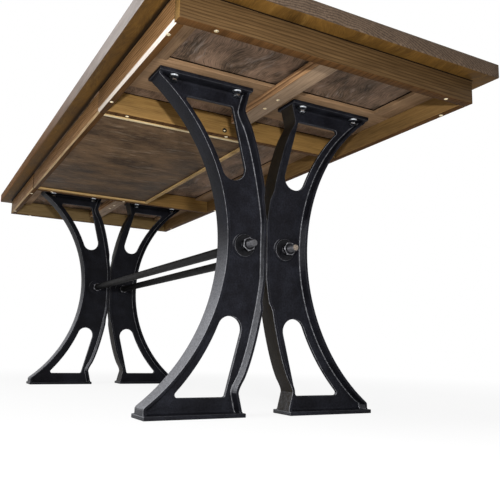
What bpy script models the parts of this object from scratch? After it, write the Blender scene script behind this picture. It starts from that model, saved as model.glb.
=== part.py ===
"""Writing desk: a wooden top and apron with one shallow drawer, carried by four
cast-iron half legs that two bars tie together.

X runs along the desk, the drawer opens toward -Y, and Z is up from the floor.
"""

import math

import bmesh
import bpy
from mathutils import Matrix, Vector
from mathutils.geometry import interpolate_bezier

# Fits
SEAT_GAP = 0.0003
RUNNER_SLACK = 0.0006
BOLT_CLEARANCE = 0.0004
ROD_CLEARANCE = 0.0005

# Top and apron
TOP_LENGTH = 1.871
TOP_WIDTH = 0.762
TOP_THICKNESS = 0.0315
TOP_EDGE_BEVEL = 0.002
END_OVERHANG = 0.040
SIDE_OVERHANG = 0.040
APRON_HEIGHT = 0.0522
FRONT_CHAMFER = 0.004
LONG_RAIL_THICKNESS = 0.018
END_RAIL_THICKNESS = 0.022
CROSS_RAIL_THICKNESS = 0.020

# Boards under the top
BOARD_THICKNESS = 0.0097
BOARD_WIDTH = 0.161
BOARD_FROM_CROSS_RAIL = 0.064
BATTEN_WIDTH = 0.0527
BEARER_WIDTH = 0.044
BEARER_HEIGHT = 0.0217
BEARER_FROM_CROSS_RAIL = 0.032

# Drawer
DRAWER_BAY = 0.820
DRAWER_DEPTH = 0.413
DRAWER_FRONT_END_GAP = 0.0015
DRAWER_FRONT_RECESS = 0.0015
DRAWER_SIDE_GAP = 0.005
DRAWER_SIDE_THICKNESS = 0.0115
DRAWER_BACK_THICKNESS = 0.012
DRAWER_TOP_GAP = 0.0045
DRAWER_FRONT_TOP_GAP = 0.0012
PANEL_THICKNESS = 0.005
PANEL_RAISE = 0.006
GROOVE_DEPTH = 0.005
RUNNER_HEIGHT = 0.012
RUNNER_RAISE = 0.0235
RUNNER_GROOVE = 0.0045
RUNNER_TAIL = 0.028

# Half leg
LEG_HEIGHT = 0.7137
LEG_FROM_BOARD_EDGE = 0.060
PLATE_THICKNESS = 0.0086
PLATE_DEPTH = 0.0724
PLATE_INNER = 0.054
PLATE_OUTER = 0.2745
FOOT_REACH = 0.272
TOE_HEIGHT = 0.0175
WAIST_RAISE = 0.0048
WAIST_REACH = 0.1018
HALF_GAP = 0.0008
FORK_HEIGHT = 0.2963
FORK_BEND = 0.020
KNEE_REACH = 0.0674
KNEE_HEIGHT = 0.0542
KNEE_BEND = 0.004
KNEE_FLARE = 0.0379
KNEE_FLARE_RISE = 0.0411
HEEL_REACH = 0.0545
FLANGE_DEPTH = 0.0506
FLANGE_LIP = 0.0066
FLANGE_ROOT = 0.0080
WEB_THICKNESS = 0.008
WAIST_RIM_HEIGHT = 0.0115
RELIEF_START = 0.215
RELIEF_END = 0.245
RELIEF_REACH = 0.060
WINDOW_SILL = 0.0393
WINDOW_SILL_INNER = 0.0885
WINDOW_CROWN_INNER = 0.0525
WINDOW_CROWN_HEIGHT = 0.178
WINDOW_CROWN_RADIUS = 0.0278
WINDOW_BORDER = 0.0290
WINDOW_CORNER = 0.006
BOSS_DIAMETER = 0.054
BOSS_HEIGHT = 0.003

# Tie bars and their nuts
ROD_REACH = 0.052
ROD_HEIGHT = 0.362
ROD_DIAMETER = 0.022
THREAD_DIAMETER = 0.016
THREAD_TAIL = 0.022
NUT_ACROSS_FLATS = 0.027
NUT_THICKNESS = 0.020
WASHER_DIAMETER = 0.049
WASHER_THICKNESS = 0.003

# Leg bolts
BOLT_SHANK = 0.008
BOLT_GRIP = 0.014
BOLT_FLANGE_DIAMETER = 0.022
BOLT_FLANGE_THICKNESS = 0.0025
BOLT_HEAD_ACROSS_FLATS = 0.014
BOLT_HEAD_HEIGHT = 0.0095
BOLT_OFFSET = 0.020
BOLT_INNER_REACH = 0.087
BOLT_OUTER_REACH = 0.238

# Facets of the round and curved shapes
ROUND_SIDES = 16
HOLE_SIDES = 12
LEG_STEPS = 24
CURVE_STEPS = 16
CUT_MARGIN = 0.002

# Places that follow from the sizes above
APRON_LENGTH = TOP_LENGTH - 2 * END_OVERHANG
APRON_WIDTH = TOP_WIDTH - 2 * SIDE_OVERHANG
BOARD_BOTTOM = LEG_HEIGHT + SEAT_GAP
BOARD_TOP = BOARD_BOTTOM + BOARD_THICKNESS
UNDERSIDE = BOARD_TOP + SEAT_GAP
RAIL_TOP = UNDERSIDE - SEAT_GAP
RAIL_BOTTOM = RAIL_TOP - APRON_HEIGHT
BAY_END = DRAWER_BAY / 2
CROSS_RAIL_OUTER = BAY_END + CROSS_RAIL_THICKNESS
BOARD_INNER_EDGE = CROSS_RAIL_OUTER + BOARD_FROM_CROSS_RAIL
BOARD_OUTER_EDGE = BOARD_INNER_EDGE + BOARD_WIDTH
LEG_X = BOARD_OUTER_EDGE - LEG_FROM_BOARD_EDGE
END_RAIL_INNER = APRON_LENGTH / 2 - END_RAIL_THICKNESS
LONG_RAIL_INNER = APRON_WIDTH / 2 - LONG_RAIL_THICKNESS
DRAWER_FACE = DRAWER_FRONT_RECESS - APRON_WIDTH / 2
DRAWER_FRONT_BACK = -LONG_RAIL_INNER
DRAWER_REAR = DRAWER_DEPTH - APRON_WIDTH / 2
DRAWER_SIDE_OUTER = BAY_END - DRAWER_SIDE_GAP
DRAWER_SIDE_INNER = DRAWER_SIDE_OUTER - DRAWER_SIDE_THICKNESS
DRAWER_TOP = UNDERSIDE - DRAWER_TOP_GAP
PANEL_BOTTOM = RAIL_BOTTOM + PANEL_RAISE
PANEL_TOP = PANEL_BOTTOM + PANEL_THICKNESS
RUNNER_BOTTOM = RAIL_BOTTOM + RUNNER_RAISE
RUNNER_TOP = RUNNER_BOTTOM + RUNNER_HEIGHT
BOSS_FACE = WEB_THICKNESS / 2 + BOSS_HEIGHT
BOLT_TIP = UNDERSIDE + BOLT_GRIP
ENDS = {"right": 1, "left": -1}
SIDES = {"front": -1, "back": 1}


def clear_scene():
    for old in list(bpy.data.objects):
        bpy.data.objects.remove(old, do_unlink=True)


def make_material(name, colour, roughness, metallic=0.0):
    material = bpy.data.materials.new(name)
    material.use_nodes = True
    shader = material.node_tree.nodes["Principled BSDF"]
    shader.inputs["Base Color"].default_value = (*colour, 1.0)
    shader.inputs["Roughness"].default_value = roughness
    shader.inputs["Metallic"].default_value = metallic
    return material


def make_empty(name, location):
    empty = bpy.data.objects.new(name, None)
    empty.location = location
    bpy.context.collection.objects.link(empty)
    return empty


def add_piece(name, mesh, material, place, parent, turn=0.0):
    """Put a mesh at a world place, under a parent empty."""
    piece = bpy.data.objects.new(name, mesh)
    piece.parent = parent
    piece.location = Vector(place) - parent.location
    piece.rotation_euler = (0.0, 0.0, turn)
    if not mesh.materials:
        mesh.materials.append(material)
    bpy.context.collection.objects.link(piece)
    return piece


def mesh_of(name, bm, smooth=False):
    bmesh.ops.recalc_face_normals(bm, faces=bm.faces)
    mesh = bpy.data.meshes.new(name)
    bm.to_mesh(mesh)
    bm.free()
    if smooth:
        mesh.shade_smooth()
        mesh.set_sharp_from_angle(angle=math.radians(35))
    return mesh


def add_box(bm, low, high):
    low, high = Vector(low), Vector(high)
    size = high - low
    place = Matrix.Translation((low + high) / 2) @ Matrix.Diagonal((*size, 1.0))
    return bmesh.ops.create_cube(bm, size=1.0, matrix=place)["verts"]


def add_prism(bm, outline, start, end, along):
    """Extrude a flat outline. along turns (a, b, depth) into a point."""
    loops = []
    for depth in (start, end):
        loops.append([bm.verts.new(along(a, b, depth)) for a, b in outline])
    join_loops(bm, loops)
    bm.faces.new(loops[0])
    bm.faces.new(loops[1])


def join_loops(bm, loops, closed=False):
    pairs = list(zip(loops, loops[1:]))
    if closed:
        pairs.append((loops[-1], loops[0]))
    for first, second in pairs:
        for i in range(len(first)):
            j = (i + 1) % len(first)
            bm.faces.new((first[i], first[j], second[j], second[i]))


def add_round(bm, centre, radius, length, axis, sides):
    turn = Matrix.Rotation(math.pi / 2, 4, "Y") if axis == "X" else Matrix.Identity(4)
    bmesh.ops.create_cone(bm, cap_ends=True, segments=sides, radius1=radius, radius2=radius,
                          depth=length, matrix=Matrix.Translation(centre) @ turn)


def revolve_x(bm, profile, sides, closed=False):
    """Turn (x, radius) points around the X axis, as a ring or as a capped bar."""
    loops = []
    for x, radius in profile:
        ring = []
        for k in range(sides):
            angle = 2 * math.pi * k / sides
            ring.append(bm.verts.new((x, radius * math.cos(angle), radius * math.sin(angle))))
        loops.append(ring)
    join_loops(bm, loops, closed)
    if not closed:
        bm.faces.new(loops[0])
        bm.faces.new(loops[-1])


def combine(name, base, *steps):
    """Return the base mesh after a row of (Boolean operation, mesh) steps."""
    body = bpy.data.objects.new(name, base)
    helpers = []
    for operation, mesh in steps:
        helper = bpy.data.objects.new(name + "_helper", mesh)
        helper.hide_render = True
        helper.display_type = "WIRE"
        helpers.append(helper)
        modifier = body.modifiers.new(operation.title(), "BOOLEAN")
        modifier.operation = operation
        modifier.solver = "EXACT"
        modifier.object = helper
    for item in (body, *helpers):
        bpy.context.collection.objects.link(item)
    bpy.context.view_layer.update()
    depsgraph = bpy.context.evaluated_depsgraph_get()
    result = bpy.data.meshes.new_from_object(body.evaluated_get(depsgraph))
    result.name = name
    for item in (body, *helpers):
        bpy.data.objects.remove(item, do_unlink=True)
    return result


def along_x(y, z, x):
    return (x, y, z)


def along_y(x, z, y):
    return (x, y, z)


def bolt_places():
    """Name and (x, y) of every leg bolt."""
    for end, end_sign in ENDS.items():
        for side, side_sign in SIDES.items():
            for row, row_sign in (("outward", 1), ("inward", -1)):
                for spot, reach in (("near", BOLT_INNER_REACH), ("far", BOLT_OUTER_REACH)):
                    name = f"leg_bolt_{side}_{end}_{row}_{spot}"
                    yield name, end_sign * (LEG_X + row_sign * BOLT_OFFSET), side_sign * reach


def bolt_holes(bottom, top):
    """One mesh of all the round holes that the leg bolts pass through."""
    bm = bmesh.new()
    for _, x, y in bolt_places():
        centre = (x, y, (bottom + top) / 2)
        add_round(bm, centre, BOLT_SHANK / 2 + BOLT_CLEARANCE, top - bottom, "Z", HOLE_SIDES)
    return mesh_of("bolt_holes", bm)


# Wooden top and apron


def add_board(name, low, high, material, parent):
    """A plain board between two world corners, with its origin in its middle."""
    centre = (Vector(low) + Vector(high)) / 2
    bm = bmesh.new()
    add_box(bm, Vector(low) - centre, Vector(high) - centre)
    return add_piece(name, mesh_of(name, bm), material, centre, parent)


def board_outline(low, high, bottom, top, cuts=(), chamfer=0.0):
    """A board's section, with square grooves in its low and high faces and a chamfer low down.

    Each cut is (face, depth, bottom, top), and a face has at most one cut.
    """
    grooves = {face: (depth, start, stop) for face, depth, start, stop in cuts}
    outline = [(low, bottom)]
    if chamfer:
        outline = [(low, bottom + chamfer), (low + chamfer, bottom)]
    outline.append((high, bottom))
    if "high" in grooves:
        depth, start, stop = grooves["high"]
        outline += [(high, start), (high - depth, start), (high - depth, stop), (high, stop)]
    outline += [(high, top), (low, top)]
    if "low" in grooves:
        depth, start, stop = grooves["low"]
        outline += [(low, stop), (low + depth, stop), (low + depth, start), (low, start)]
    return outline


def build_top(material, parent):
    bm = bmesh.new()
    low = (-TOP_LENGTH / 2, -TOP_WIDTH / 2, UNDERSIDE)
    high = (TOP_LENGTH / 2, TOP_WIDTH / 2, UNDERSIDE + TOP_THICKNESS)
    add_box(bm, low, high)
    bmesh.ops.bevel(bm, geom=bm.edges[:], offset=TOP_EDGE_BEVEL, segments=1, affect="EDGES")
    slab = mesh_of("top_slab_blank", bm)
    holes = bolt_holes(UNDERSIDE - CUT_MARGIN, BOLT_TIP + SEAT_GAP)
    mesh = combine("top_slab", slab, ("DIFFERENCE", holes))
    add_piece("top_slab", mesh, material, (0, 0, 0), parent)


def build_apron(material, parent):
    outer_y = APRON_WIDTH / 2
    rail_end = END_RAIL_INNER - SEAT_GAP
    add_board("back_rail", (-rail_end, LONG_RAIL_INNER, RAIL_BOTTOM), (rail_end, outer_y, RAIL_TOP),
              material, parent)
    for end, sign in ENDS.items():
        outline = board_outline(-outer_y, -LONG_RAIL_INNER, RAIL_BOTTOM, RAIL_TOP, chamfer=FRONT_CHAMFER)
        bm = bmesh.new()
        add_prism(bm, outline, sign * BAY_END, sign * rail_end, along_x)
        add_piece(f"front_rail_{end}", mesh_of(f"front_rail_{end}", bm), material, (0, 0, 0), parent)
        x_near, x_far = sorted((sign * END_RAIL_INNER, sign * APRON_LENGTH / 2))
        add_board(f"end_rail_{end}", (x_near, -outer_y, RAIL_BOTTOM), (x_far, outer_y, RAIL_TOP),
                  material, parent)
        x_near, x_far = sorted((sign * BAY_END, sign * CROSS_RAIL_OUTER))
        cross_y = LONG_RAIL_INNER - SEAT_GAP
        add_board(f"cross_rail_{end}", (x_near, -cross_y, RAIL_BOTTOM), (x_far, cross_y, RAIL_TOP),
                  material, parent)


def build_underside(material, parent):
    """Leg mounting boards, battens and centre bearers below the top slab."""
    holes_mesh = bolt_holes(BOARD_BOTTOM - CUT_MARGIN, BOARD_TOP + CUT_MARGIN)
    board_y = LONG_RAIL_INNER - SEAT_GAP
    batten_y = board_y - BATTEN_WIDTH
    for end, sign in ENDS.items():
        x_near, x_far = sorted((sign * BOARD_INNER_EDGE, sign * BOARD_OUTER_EDGE))
        bm = bmesh.new()
        add_box(bm, (x_near, -board_y, BOARD_BOTTOM), (x_far, board_y, BOARD_TOP))
        blank = mesh_of("board_blank", bm)
        mesh = combine(f"mounting_board_{end}", blank, ("DIFFERENCE", holes_mesh))
        add_piece(f"mounting_board_{end}", mesh, material, (0, 0, 0), parent)

        x_near, x_far = sorted((sign * (BOARD_OUTER_EDGE + SEAT_GAP), sign * (END_RAIL_INNER - SEAT_GAP)))
        for side, side_sign in SIDES.items():
            y_near, y_far = sorted((side_sign * batten_y, side_sign * board_y))
            add_board(f"batten_{side}_{end}", (x_near, y_near, BOARD_BOTTOM), (x_far, y_far, BOARD_TOP),
                      material, parent)

        bearer_start = CROSS_RAIL_OUTER + BEARER_FROM_CROSS_RAIL
        x_near, x_far = sorted((sign * bearer_start, sign * (END_RAIL_INNER - SEAT_GAP)))
        bearer_top = BOARD_BOTTOM - SEAT_GAP
        add_board(f"centre_bearer_{end}", (x_near, -BEARER_WIDTH / 2, bearer_top - BEARER_HEIGHT),
                  (x_far, BEARER_WIDTH / 2, bearer_top), material, parent)
    bay_end = BAY_END - SEAT_GAP
    add_board("batten_back_middle", (-bay_end, batten_y, BOARD_BOTTOM), (bay_end, board_y, BOARD_TOP),
              material, parent)


# Drawer and its runners


def build_drawer(front_wood, box_wood, plywood, parent):
    bottom = RAIL_BOTTOM + SEAT_GAP
    panel_groove = (GROOVE_DEPTH, PANEL_BOTTOM - SEAT_GAP, PANEL_TOP + SEAT_GAP)
    front_half = BAY_END - DRAWER_FRONT_END_GAP

    outline = board_outline(DRAWER_FACE, DRAWER_FRONT_BACK, bottom, UNDERSIDE - DRAWER_FRONT_TOP_GAP,
                            [("high", *panel_groove)], FRONT_CHAMFER)
    bm = bmesh.new()
    add_prism(bm, outline, -front_half, front_half, along_x)
    add_piece("drawer_front", mesh_of("drawer_front", bm), front_wood, (0, 0, 0), parent)

    runner_groove = (RUNNER_GROOVE, RUNNER_BOTTOM - RUNNER_SLACK - SEAT_GAP, RUNNER_TOP + SEAT_GAP)
    side_start = DRAWER_FRONT_BACK + SEAT_GAP
    for end, sign in ENDS.items():
        outline = board_outline(DRAWER_SIDE_INNER, DRAWER_SIDE_OUTER, bottom, DRAWER_TOP,
                                [("low", *panel_groove), ("high", *runner_groove)])
        bm = bmesh.new()
        add_prism(bm, [(sign * x, z) for x, z in outline], side_start, DRAWER_REAR, along_y)
        add_piece(f"drawer_side_{end}", mesh_of(f"drawer_side_{end}", bm), box_wood, (0, 0, 0), parent)

    back_front = DRAWER_REAR - DRAWER_BACK_THICKNESS
    back_half = DRAWER_SIDE_INNER - SEAT_GAP
    outline = board_outline(back_front, DRAWER_REAR, bottom, DRAWER_TOP, [("low", *panel_groove)])
    bm = bmesh.new()
    add_prism(bm, outline, -back_half, back_half, along_x)
    add_piece("drawer_back", mesh_of("drawer_back", bm), box_wood, (0, 0, 0), parent)

    tongue = GROOVE_DEPTH - SEAT_GAP
    panel_half = DRAWER_SIDE_INNER + tongue
    add_board("drawer_bottom", (-panel_half, DRAWER_FRONT_BACK - tongue, PANEL_BOTTOM),
              (panel_half, back_front + tongue, PANEL_TOP), plywood, parent)


def build_runners(material, parent):
    groove_floor = DRAWER_SIDE_OUTER - RUNNER_GROOVE
    start = DRAWER_FRONT_BACK + SEAT_GAP
    for end, sign in ENDS.items():
        x_near, x_far = sorted((sign * (groove_floor + RUNNER_SLACK), sign * (BAY_END - SEAT_GAP)))
        add_board(f"drawer_runner_{end}", (x_near, start, RUNNER_BOTTOM),
                  (x_far, DRAWER_REAR + RUNNER_TAIL, RUNNER_TOP), material, parent)


# Cast half leg, drawn in the (y, z) plane with y measured outward from the desk's middle


def arc_of_leg():
    """Centre distance and radius of the concave outer edge, from its chord and its depth."""
    half_chord = LEG_HEIGHT / 2 - TOE_HEIGHT
    depth = FOOT_REACH - WAIST_REACH
    radius = (half_chord ** 2 + depth ** 2) / (2 * depth)
    return WAIST_REACH + radius, radius


def arc_ends():
    """The two levels between which the outer edge is an arc; its waist lies above mid-height."""
    return TOE_HEIGHT + WAIST_RAISE, LEG_HEIGHT - TOE_HEIGHT + WAIST_RAISE


def outer_edge(z, inset):
    centre, radius = arc_of_leg()
    low, high = arc_ends()
    level = min(max(z, low), high) - (low + high) / 2
    return centre - math.sqrt((radius + inset) ** 2 - level ** 2)


def inner_curve():
    """The lower half of the inner edge: waist, fork, knee and heel."""
    waist = Vector((HALF_GAP, FORK_HEIGHT))
    knee = Vector((KNEE_REACH, KNEE_HEIGHT))
    heel = Vector((HEEL_REACH, 0.0))
    down = Vector((0.0, -1.0))
    flare = knee + Vector((-KNEE_FLARE, KNEE_FLARE_RISE))
    fork = interpolate_bezier(waist, waist + down * FORK_BEND, flare, knee, CURVE_STEPS)
    shank = interpolate_bezier(knee, knee + down * KNEE_BEND, (knee + heel) / 2, heel, CURVE_STEPS)
    return [Vector((HALF_GAP, LEG_HEIGHT / 2))] + list(fork) + list(shank)[1:]


def inner_edge(z, inset, curve):
    height = min(z, LEG_HEIGHT - z)
    for upper, lower in zip(curve, curve[1:]):
        if height >= lower.y:
            break
    slope = (lower.x - upper.x) / (lower.y - upper.y)
    reach = upper.x + slope * (height - upper.y)
    return reach + inset * math.sqrt(1 + slope ** 2)


def leg_outline(inset, end):
    """Outline of the casting, moved inward, between two levels set in from its ends."""
    heights = list(arc_ends())
    for i in range(LEG_STEPS + 1):
        share = (1 - math.cos(math.pi * i / LEG_STEPS)) / 2
        heights.append(end + (LEG_HEIGHT - 2 * end) * share)
    heights.sort()
    curve = inner_curve()
    outer = [(outer_edge(z, inset), z) for z in heights]
    inner = [(inner_edge(z, inset, curve), z) for z in reversed(heights)]
    return outer + inner


def leg_body():
    bm = bmesh.new()
    add_prism(bm, leg_outline(0.0, PLATE_THICKNESS / 2), -FLANGE_DEPTH / 2, FLANGE_DEPTH / 2, along_x)
    return mesh_of("leg_body", bm)


def leg_pockets():
    """The drafted hollow on each face of the web, inside the rim."""
    floor = WEB_THICKNESS / 2
    draft = (FLANGE_ROOT - FLANGE_LIP) / (FLANGE_DEPTH / 2 - floor)
    mouth_inset = FLANGE_LIP - draft * CUT_MARGIN
    end = PLATE_THICKNESS - CUT_MARGIN
    mouth_loop = leg_outline(mouth_inset, end)
    floor_loop = leg_outline(FLANGE_ROOT, end)
    bm = bmesh.new()
    for face in (1, -1):
        levels = ((face * (FLANGE_DEPTH / 2 + CUT_MARGIN), mouth_loop), (face * floor, floor_loop))
        loops = [[bm.verts.new((x, y, z)) for y, z in loop] for x, loop in levels]
        join_loops(bm, loops)
        bm.faces.new(loops[0])
        bm.faces.new(loops[1])
    return mesh_of("leg_pockets", bm)


def waist_reliefs():
    """Where two castings meet, the inner rim stands lower: a cut with sloping ends on each face."""
    floor = WEB_THICKNESS / 2 + WAIST_RIM_HEIGHT
    mouth = FLANGE_DEPTH / 2 + CUT_MARGIN
    bm = bmesh.new()
    for face in (1, -1):
        outline = [(face * floor, RELIEF_END), (face * floor, LEG_HEIGHT - RELIEF_END),
                   (face * mouth, LEG_HEIGHT - RELIEF_START), (face * mouth, RELIEF_START)]
        add_prism(bm, outline, 0.0, RELIEF_REACH, along_y)
    return mesh_of("waist_reliefs", bm)


def round_corner(before, corner, after, radius, steps):
    """Points of the arc that rounds off a corner of an outline."""
    before, corner, after = Vector(before), Vector(corner), Vector(after)
    first = (before - corner).normalized()
    second = (after - corner).normalized()
    half = first.angle(second) / 2
    centre = corner + (first + second).normalized() * radius / math.sin(half)
    run = radius / math.tan(half)
    start = corner + first * run - centre
    turn = start.angle_signed(corner + second * run - centre)
    points = []
    for i in range(steps + 1):
        angle = -turn * i / steps
        x = start.x * math.cos(angle) - start.y * math.sin(angle)
        y = start.x * math.sin(angle) + start.y * math.cos(angle)
        points.append((centre.x + x, centre.y + y))
    return points


def window_crown():
    """The round crown: an arc that runs on from the curved outer side into the straight inner side."""
    foot = Vector((WINDOW_SILL_INNER, WINDOW_SILL))
    along = (Vector((WINDOW_CROWN_INNER, WINDOW_CROWN_HEIGHT)) - foot).normalized()
    across = Vector((along.y, -along.x))
    centre, radius = arc_of_leg()
    far = Vector((centre, sum(arc_ends()) / 2))
    reach = radius + WINDOW_BORDER + WINDOW_CROWN_RADIUS
    start = foot + across * WINDOW_CROWN_RADIUS - far
    half = start.dot(along)
    run = -half - math.sqrt(max(half ** 2 - start.length_squared + reach ** 2, 0.0))
    middle = far + start + along * run
    first = math.atan2(far.y - middle.y, far.x - middle.x)
    last = math.atan2(-across.y, -across.x) + 2 * math.pi
    steps = CURVE_STEPS // 2
    crown = []
    for i in range(steps + 1):
        angle = first + (last - first) * i / steps
        crown.append((middle.x + WINDOW_CROWN_RADIUS * math.cos(angle),
                      middle.y + WINDOW_CROWN_RADIUS * math.sin(angle)))
    return crown


def window_outline():
    """The lower window: a sill with round corners, two sides and a round crown."""
    sill_inner = (WINDOW_SILL_INNER, WINDOW_SILL)
    sill_outer = (outer_edge(WINDOW_SILL, WINDOW_BORDER), WINDOW_SILL)
    crown = window_crown()
    steps = CURVE_STEPS // 2
    rise = (crown[0][1] - WINDOW_SILL) / steps
    levels = [WINDOW_SILL + rise * i for i in range(1, steps)]
    outer = [(outer_edge(z, WINDOW_BORDER), z) for z in levels]
    corner_steps = CURVE_STEPS // 4
    inner_corner = round_corner(crown[-1], sill_inner, sill_outer, WINDOW_CORNER, corner_steps)
    outer_corner = round_corner(sill_inner, sill_outer, outer[0], WINDOW_CORNER, corner_steps)
    return inner_corner + outer_corner + outer[1:] + crown


def leg_cuts():
    """Both windows, the rod hole and the four bolt holes of the top plate."""
    bm = bmesh.new()
    lower = window_outline()
    upper = [(y, LEG_HEIGHT - z) for y, z in lower]
    half = WEB_THICKNESS / 2 + CUT_MARGIN
    for outline in (lower, upper):
        add_prism(bm, outline, -half, half, along_x)
    rod_hole = THREAD_DIAMETER / 2 + ROD_CLEARANCE
    through = 2 * (BOSS_FACE + CUT_MARGIN)
    add_round(bm, (0, ROD_REACH, ROD_HEIGHT), rod_hole, through, "X", ROUND_SIDES)
    depth = PLATE_THICKNESS + 2 * CUT_MARGIN
    for x in (-BOLT_OFFSET, BOLT_OFFSET):
        for y in (BOLT_INNER_REACH, BOLT_OUTER_REACH):
            centre = (x, y, LEG_HEIGHT - PLATE_THICKNESS / 2)
            add_round(bm, centre, BOLT_SHANK / 2 + BOLT_CLEARANCE, depth, "Z", HOLE_SIDES)
    return mesh_of("leg_cuts", bm)


def leg_plates():
    """Foot plate, top plate and rod boss."""
    bm = bmesh.new()
    for bottom in (0.0, LEG_HEIGHT - PLATE_THICKNESS):
        add_box(bm, (-PLATE_DEPTH / 2, PLATE_INNER, bottom),
                (PLATE_DEPTH / 2, PLATE_OUTER, bottom + PLATE_THICKNESS))
    add_round(bm, (0, ROD_REACH, ROD_HEIGHT), BOSS_DIAMETER / 2, 2 * BOSS_FACE, "X", 2 * ROUND_SIDES)
    return mesh_of("leg_plates", bm)


def build_legs(material, parent):
    mesh = combine("half_leg", leg_body(), ("DIFFERENCE", leg_pockets()), ("DIFFERENCE", waist_reliefs()),
                   ("UNION", leg_plates()), ("DIFFERENCE", leg_cuts()))
    for end, end_sign in ENDS.items():
        for side, side_sign in SIDES.items():
            turn = 0.0 if side_sign > 0 else math.pi
            add_piece(f"leg_{side}_{end}", mesh, material, (end_sign * LEG_X, 0, 0), parent, turn)


# Tie bars, nuts and bolts


def hex_prism(bm, across_flats, bottom, top):
    radius = across_flats / math.sqrt(3)
    centre = (0, 0, (bottom + top) / 2)
    add_round(bm, centre, radius, top - bottom, "Z", 6)


def build_tie_bars(bar_steel, nut_steel, parent):
    shoulder = LEG_X - BOSS_FACE - SEAT_GAP - NUT_THICKNESS - SEAT_GAP
    nut_seat = BOSS_FACE + SEAT_GAP + WASHER_THICKNESS + SEAT_GAP
    tip = LEG_X + nut_seat + NUT_THICKNESS + THREAD_TAIL
    profile = [(-tip, THREAD_DIAMETER / 2), (-shoulder, THREAD_DIAMETER / 2), (-shoulder, ROD_DIAMETER / 2),
               (shoulder, ROD_DIAMETER / 2), (shoulder, THREAD_DIAMETER / 2), (tip, THREAD_DIAMETER / 2)]
    bm = bmesh.new()
    revolve_x(bm, profile, ROUND_SIDES)
    bar = mesh_of("tie_bar", bm, smooth=True)

    bore = THREAD_DIAMETER / 2 + SEAT_GAP
    rim = WASHER_DIAMETER / 2
    bm = bmesh.new()
    ring = [(0, bore), (0, rim), (WASHER_THICKNESS, rim), (WASHER_THICKNESS, bore)]
    revolve_x(bm, ring, ROUND_SIDES, closed=True)
    washer = mesh_of("bar_washer", bm, smooth=True)

    bm = bmesh.new()
    hex_prism(bm, NUT_ACROSS_FLATS, 0.0, NUT_THICKNESS)
    bmesh.ops.rotate(bm, verts=bm.verts, matrix=Matrix.Rotation(math.pi / 2, 3, "Y"))
    blank = mesh_of("nut_blank", bm)
    bm = bmesh.new()
    add_round(bm, (NUT_THICKNESS / 2, 0, 0), bore, NUT_THICKNESS + 2 * CUT_MARGIN, "X", ROUND_SIDES)
    nut = combine("bar_nut", blank, ("DIFFERENCE", mesh_of("nut_bore", bm)))

    for side, side_sign in SIDES.items():
        y = side_sign * ROD_REACH
        add_piece(f"tie_bar_{side}", bar, bar_steel, (0, y, ROD_HEIGHT), parent)
        for end, sign in ENDS.items():
            turn = 0.0 if sign > 0 else math.pi
            seats = ((f"bar_washer_{side}_{end}", washer, BOSS_FACE + SEAT_GAP),
                     (f"bar_nut_outer_{side}_{end}", nut, nut_seat),
                     (f"bar_nut_inner_{side}_{end}", nut, -BOSS_FACE - SEAT_GAP - NUT_THICKNESS))
            for name, mesh, seat in seats:
                add_piece(name, mesh, nut_steel, (sign * (LEG_X + seat), y, ROD_HEIGHT), parent, turn)


def build_bolts(material, parent):
    """Flange bolts, with the origin where the flange meets the leg's top plate."""
    seat = LEG_HEIGHT - PLATE_THICKNESS - SEAT_GAP
    bm = bmesh.new()
    flange_middle = (0, 0, -BOLT_FLANGE_THICKNESS / 2)
    add_round(bm, flange_middle, BOLT_FLANGE_DIAMETER / 2, BOLT_FLANGE_THICKNESS, "Z", ROUND_SIDES)
    flange = mesh_of("bolt_flange", bm, smooth=True)
    bm = bmesh.new()
    head_bottom = -BOLT_FLANGE_THICKNESS - BOLT_HEAD_HEIGHT
    hex_prism(bm, BOLT_HEAD_ACROSS_FLATS, head_bottom, -BOLT_FLANGE_THICKNESS / 2)
    head = mesh_of("bolt_head", bm)
    bm = bmesh.new()
    root = -BOLT_FLANGE_THICKNESS / 2
    tip = BOLT_TIP - seat
    add_round(bm, (0, 0, (root + tip) / 2), BOLT_SHANK / 2, tip - root, "Z", HOLE_SIDES)
    shank = mesh_of("bolt_shank", bm, smooth=True)
    mesh = combine("leg_bolt", flange, ("UNION", head), ("UNION", shank))
    for name, x, y in bolt_places():
        add_piece(name, mesh, material, (x, y, seat), parent)


def build_desk():
    clear_scene()
    top_wood = make_material("oiled_pine_top", (0.30, 0.17, 0.07), 0.5)
    rail_wood = make_material("oiled_pine_rails", (0.33, 0.19, 0.075), 0.55)
    board_wood = make_material("rough_pine_boards", (0.24, 0.15, 0.075), 0.65)
    box_wood = make_material("drawer_pine", (0.36, 0.23, 0.11), 0.6)
    plywood = make_material("dark_plywood", (0.12, 0.075, 0.04), 0.6)
    iron = make_material("black_cast_iron", (0.02, 0.02, 0.022), 0.5, 0.3)
    bar_steel = make_material("black_bar_steel", (0.025, 0.024, 0.023), 0.4, 0.5)
    nut_steel = make_material("blackened_nut_steel", (0.06, 0.058, 0.055), 0.4, 0.8)
    zinc = make_material("zinc_plated_steel", (0.62, 0.64, 0.66), 0.3, 1.0)

    frame = make_empty("desk_frame", (0, 0, 0))
    build_top(top_wood, frame)
    build_apron(rail_wood, frame)
    build_underside(board_wood, frame)
    build_runners(box_wood, frame)
    build_legs(iron, frame)
    build_tie_bars(bar_steel, nut_steel, frame)
    build_bolts(zinc, frame)

    slide = make_empty("drawer_slide", (0, -APRON_WIDTH / 2, (RAIL_BOTTOM + DRAWER_TOP) / 2))
    build_drawer(rail_wood, box_wood, plywood, slide)


build_desk()
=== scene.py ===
"""Looks of a long writing desk with a slab top, a plank apron, one drawer and four cast half legs."""

import math
from functools import partial

import bmesh
import bpy
from mathutils import Matrix, Vector
from mathutils.geometry import interpolate_bezier


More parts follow.
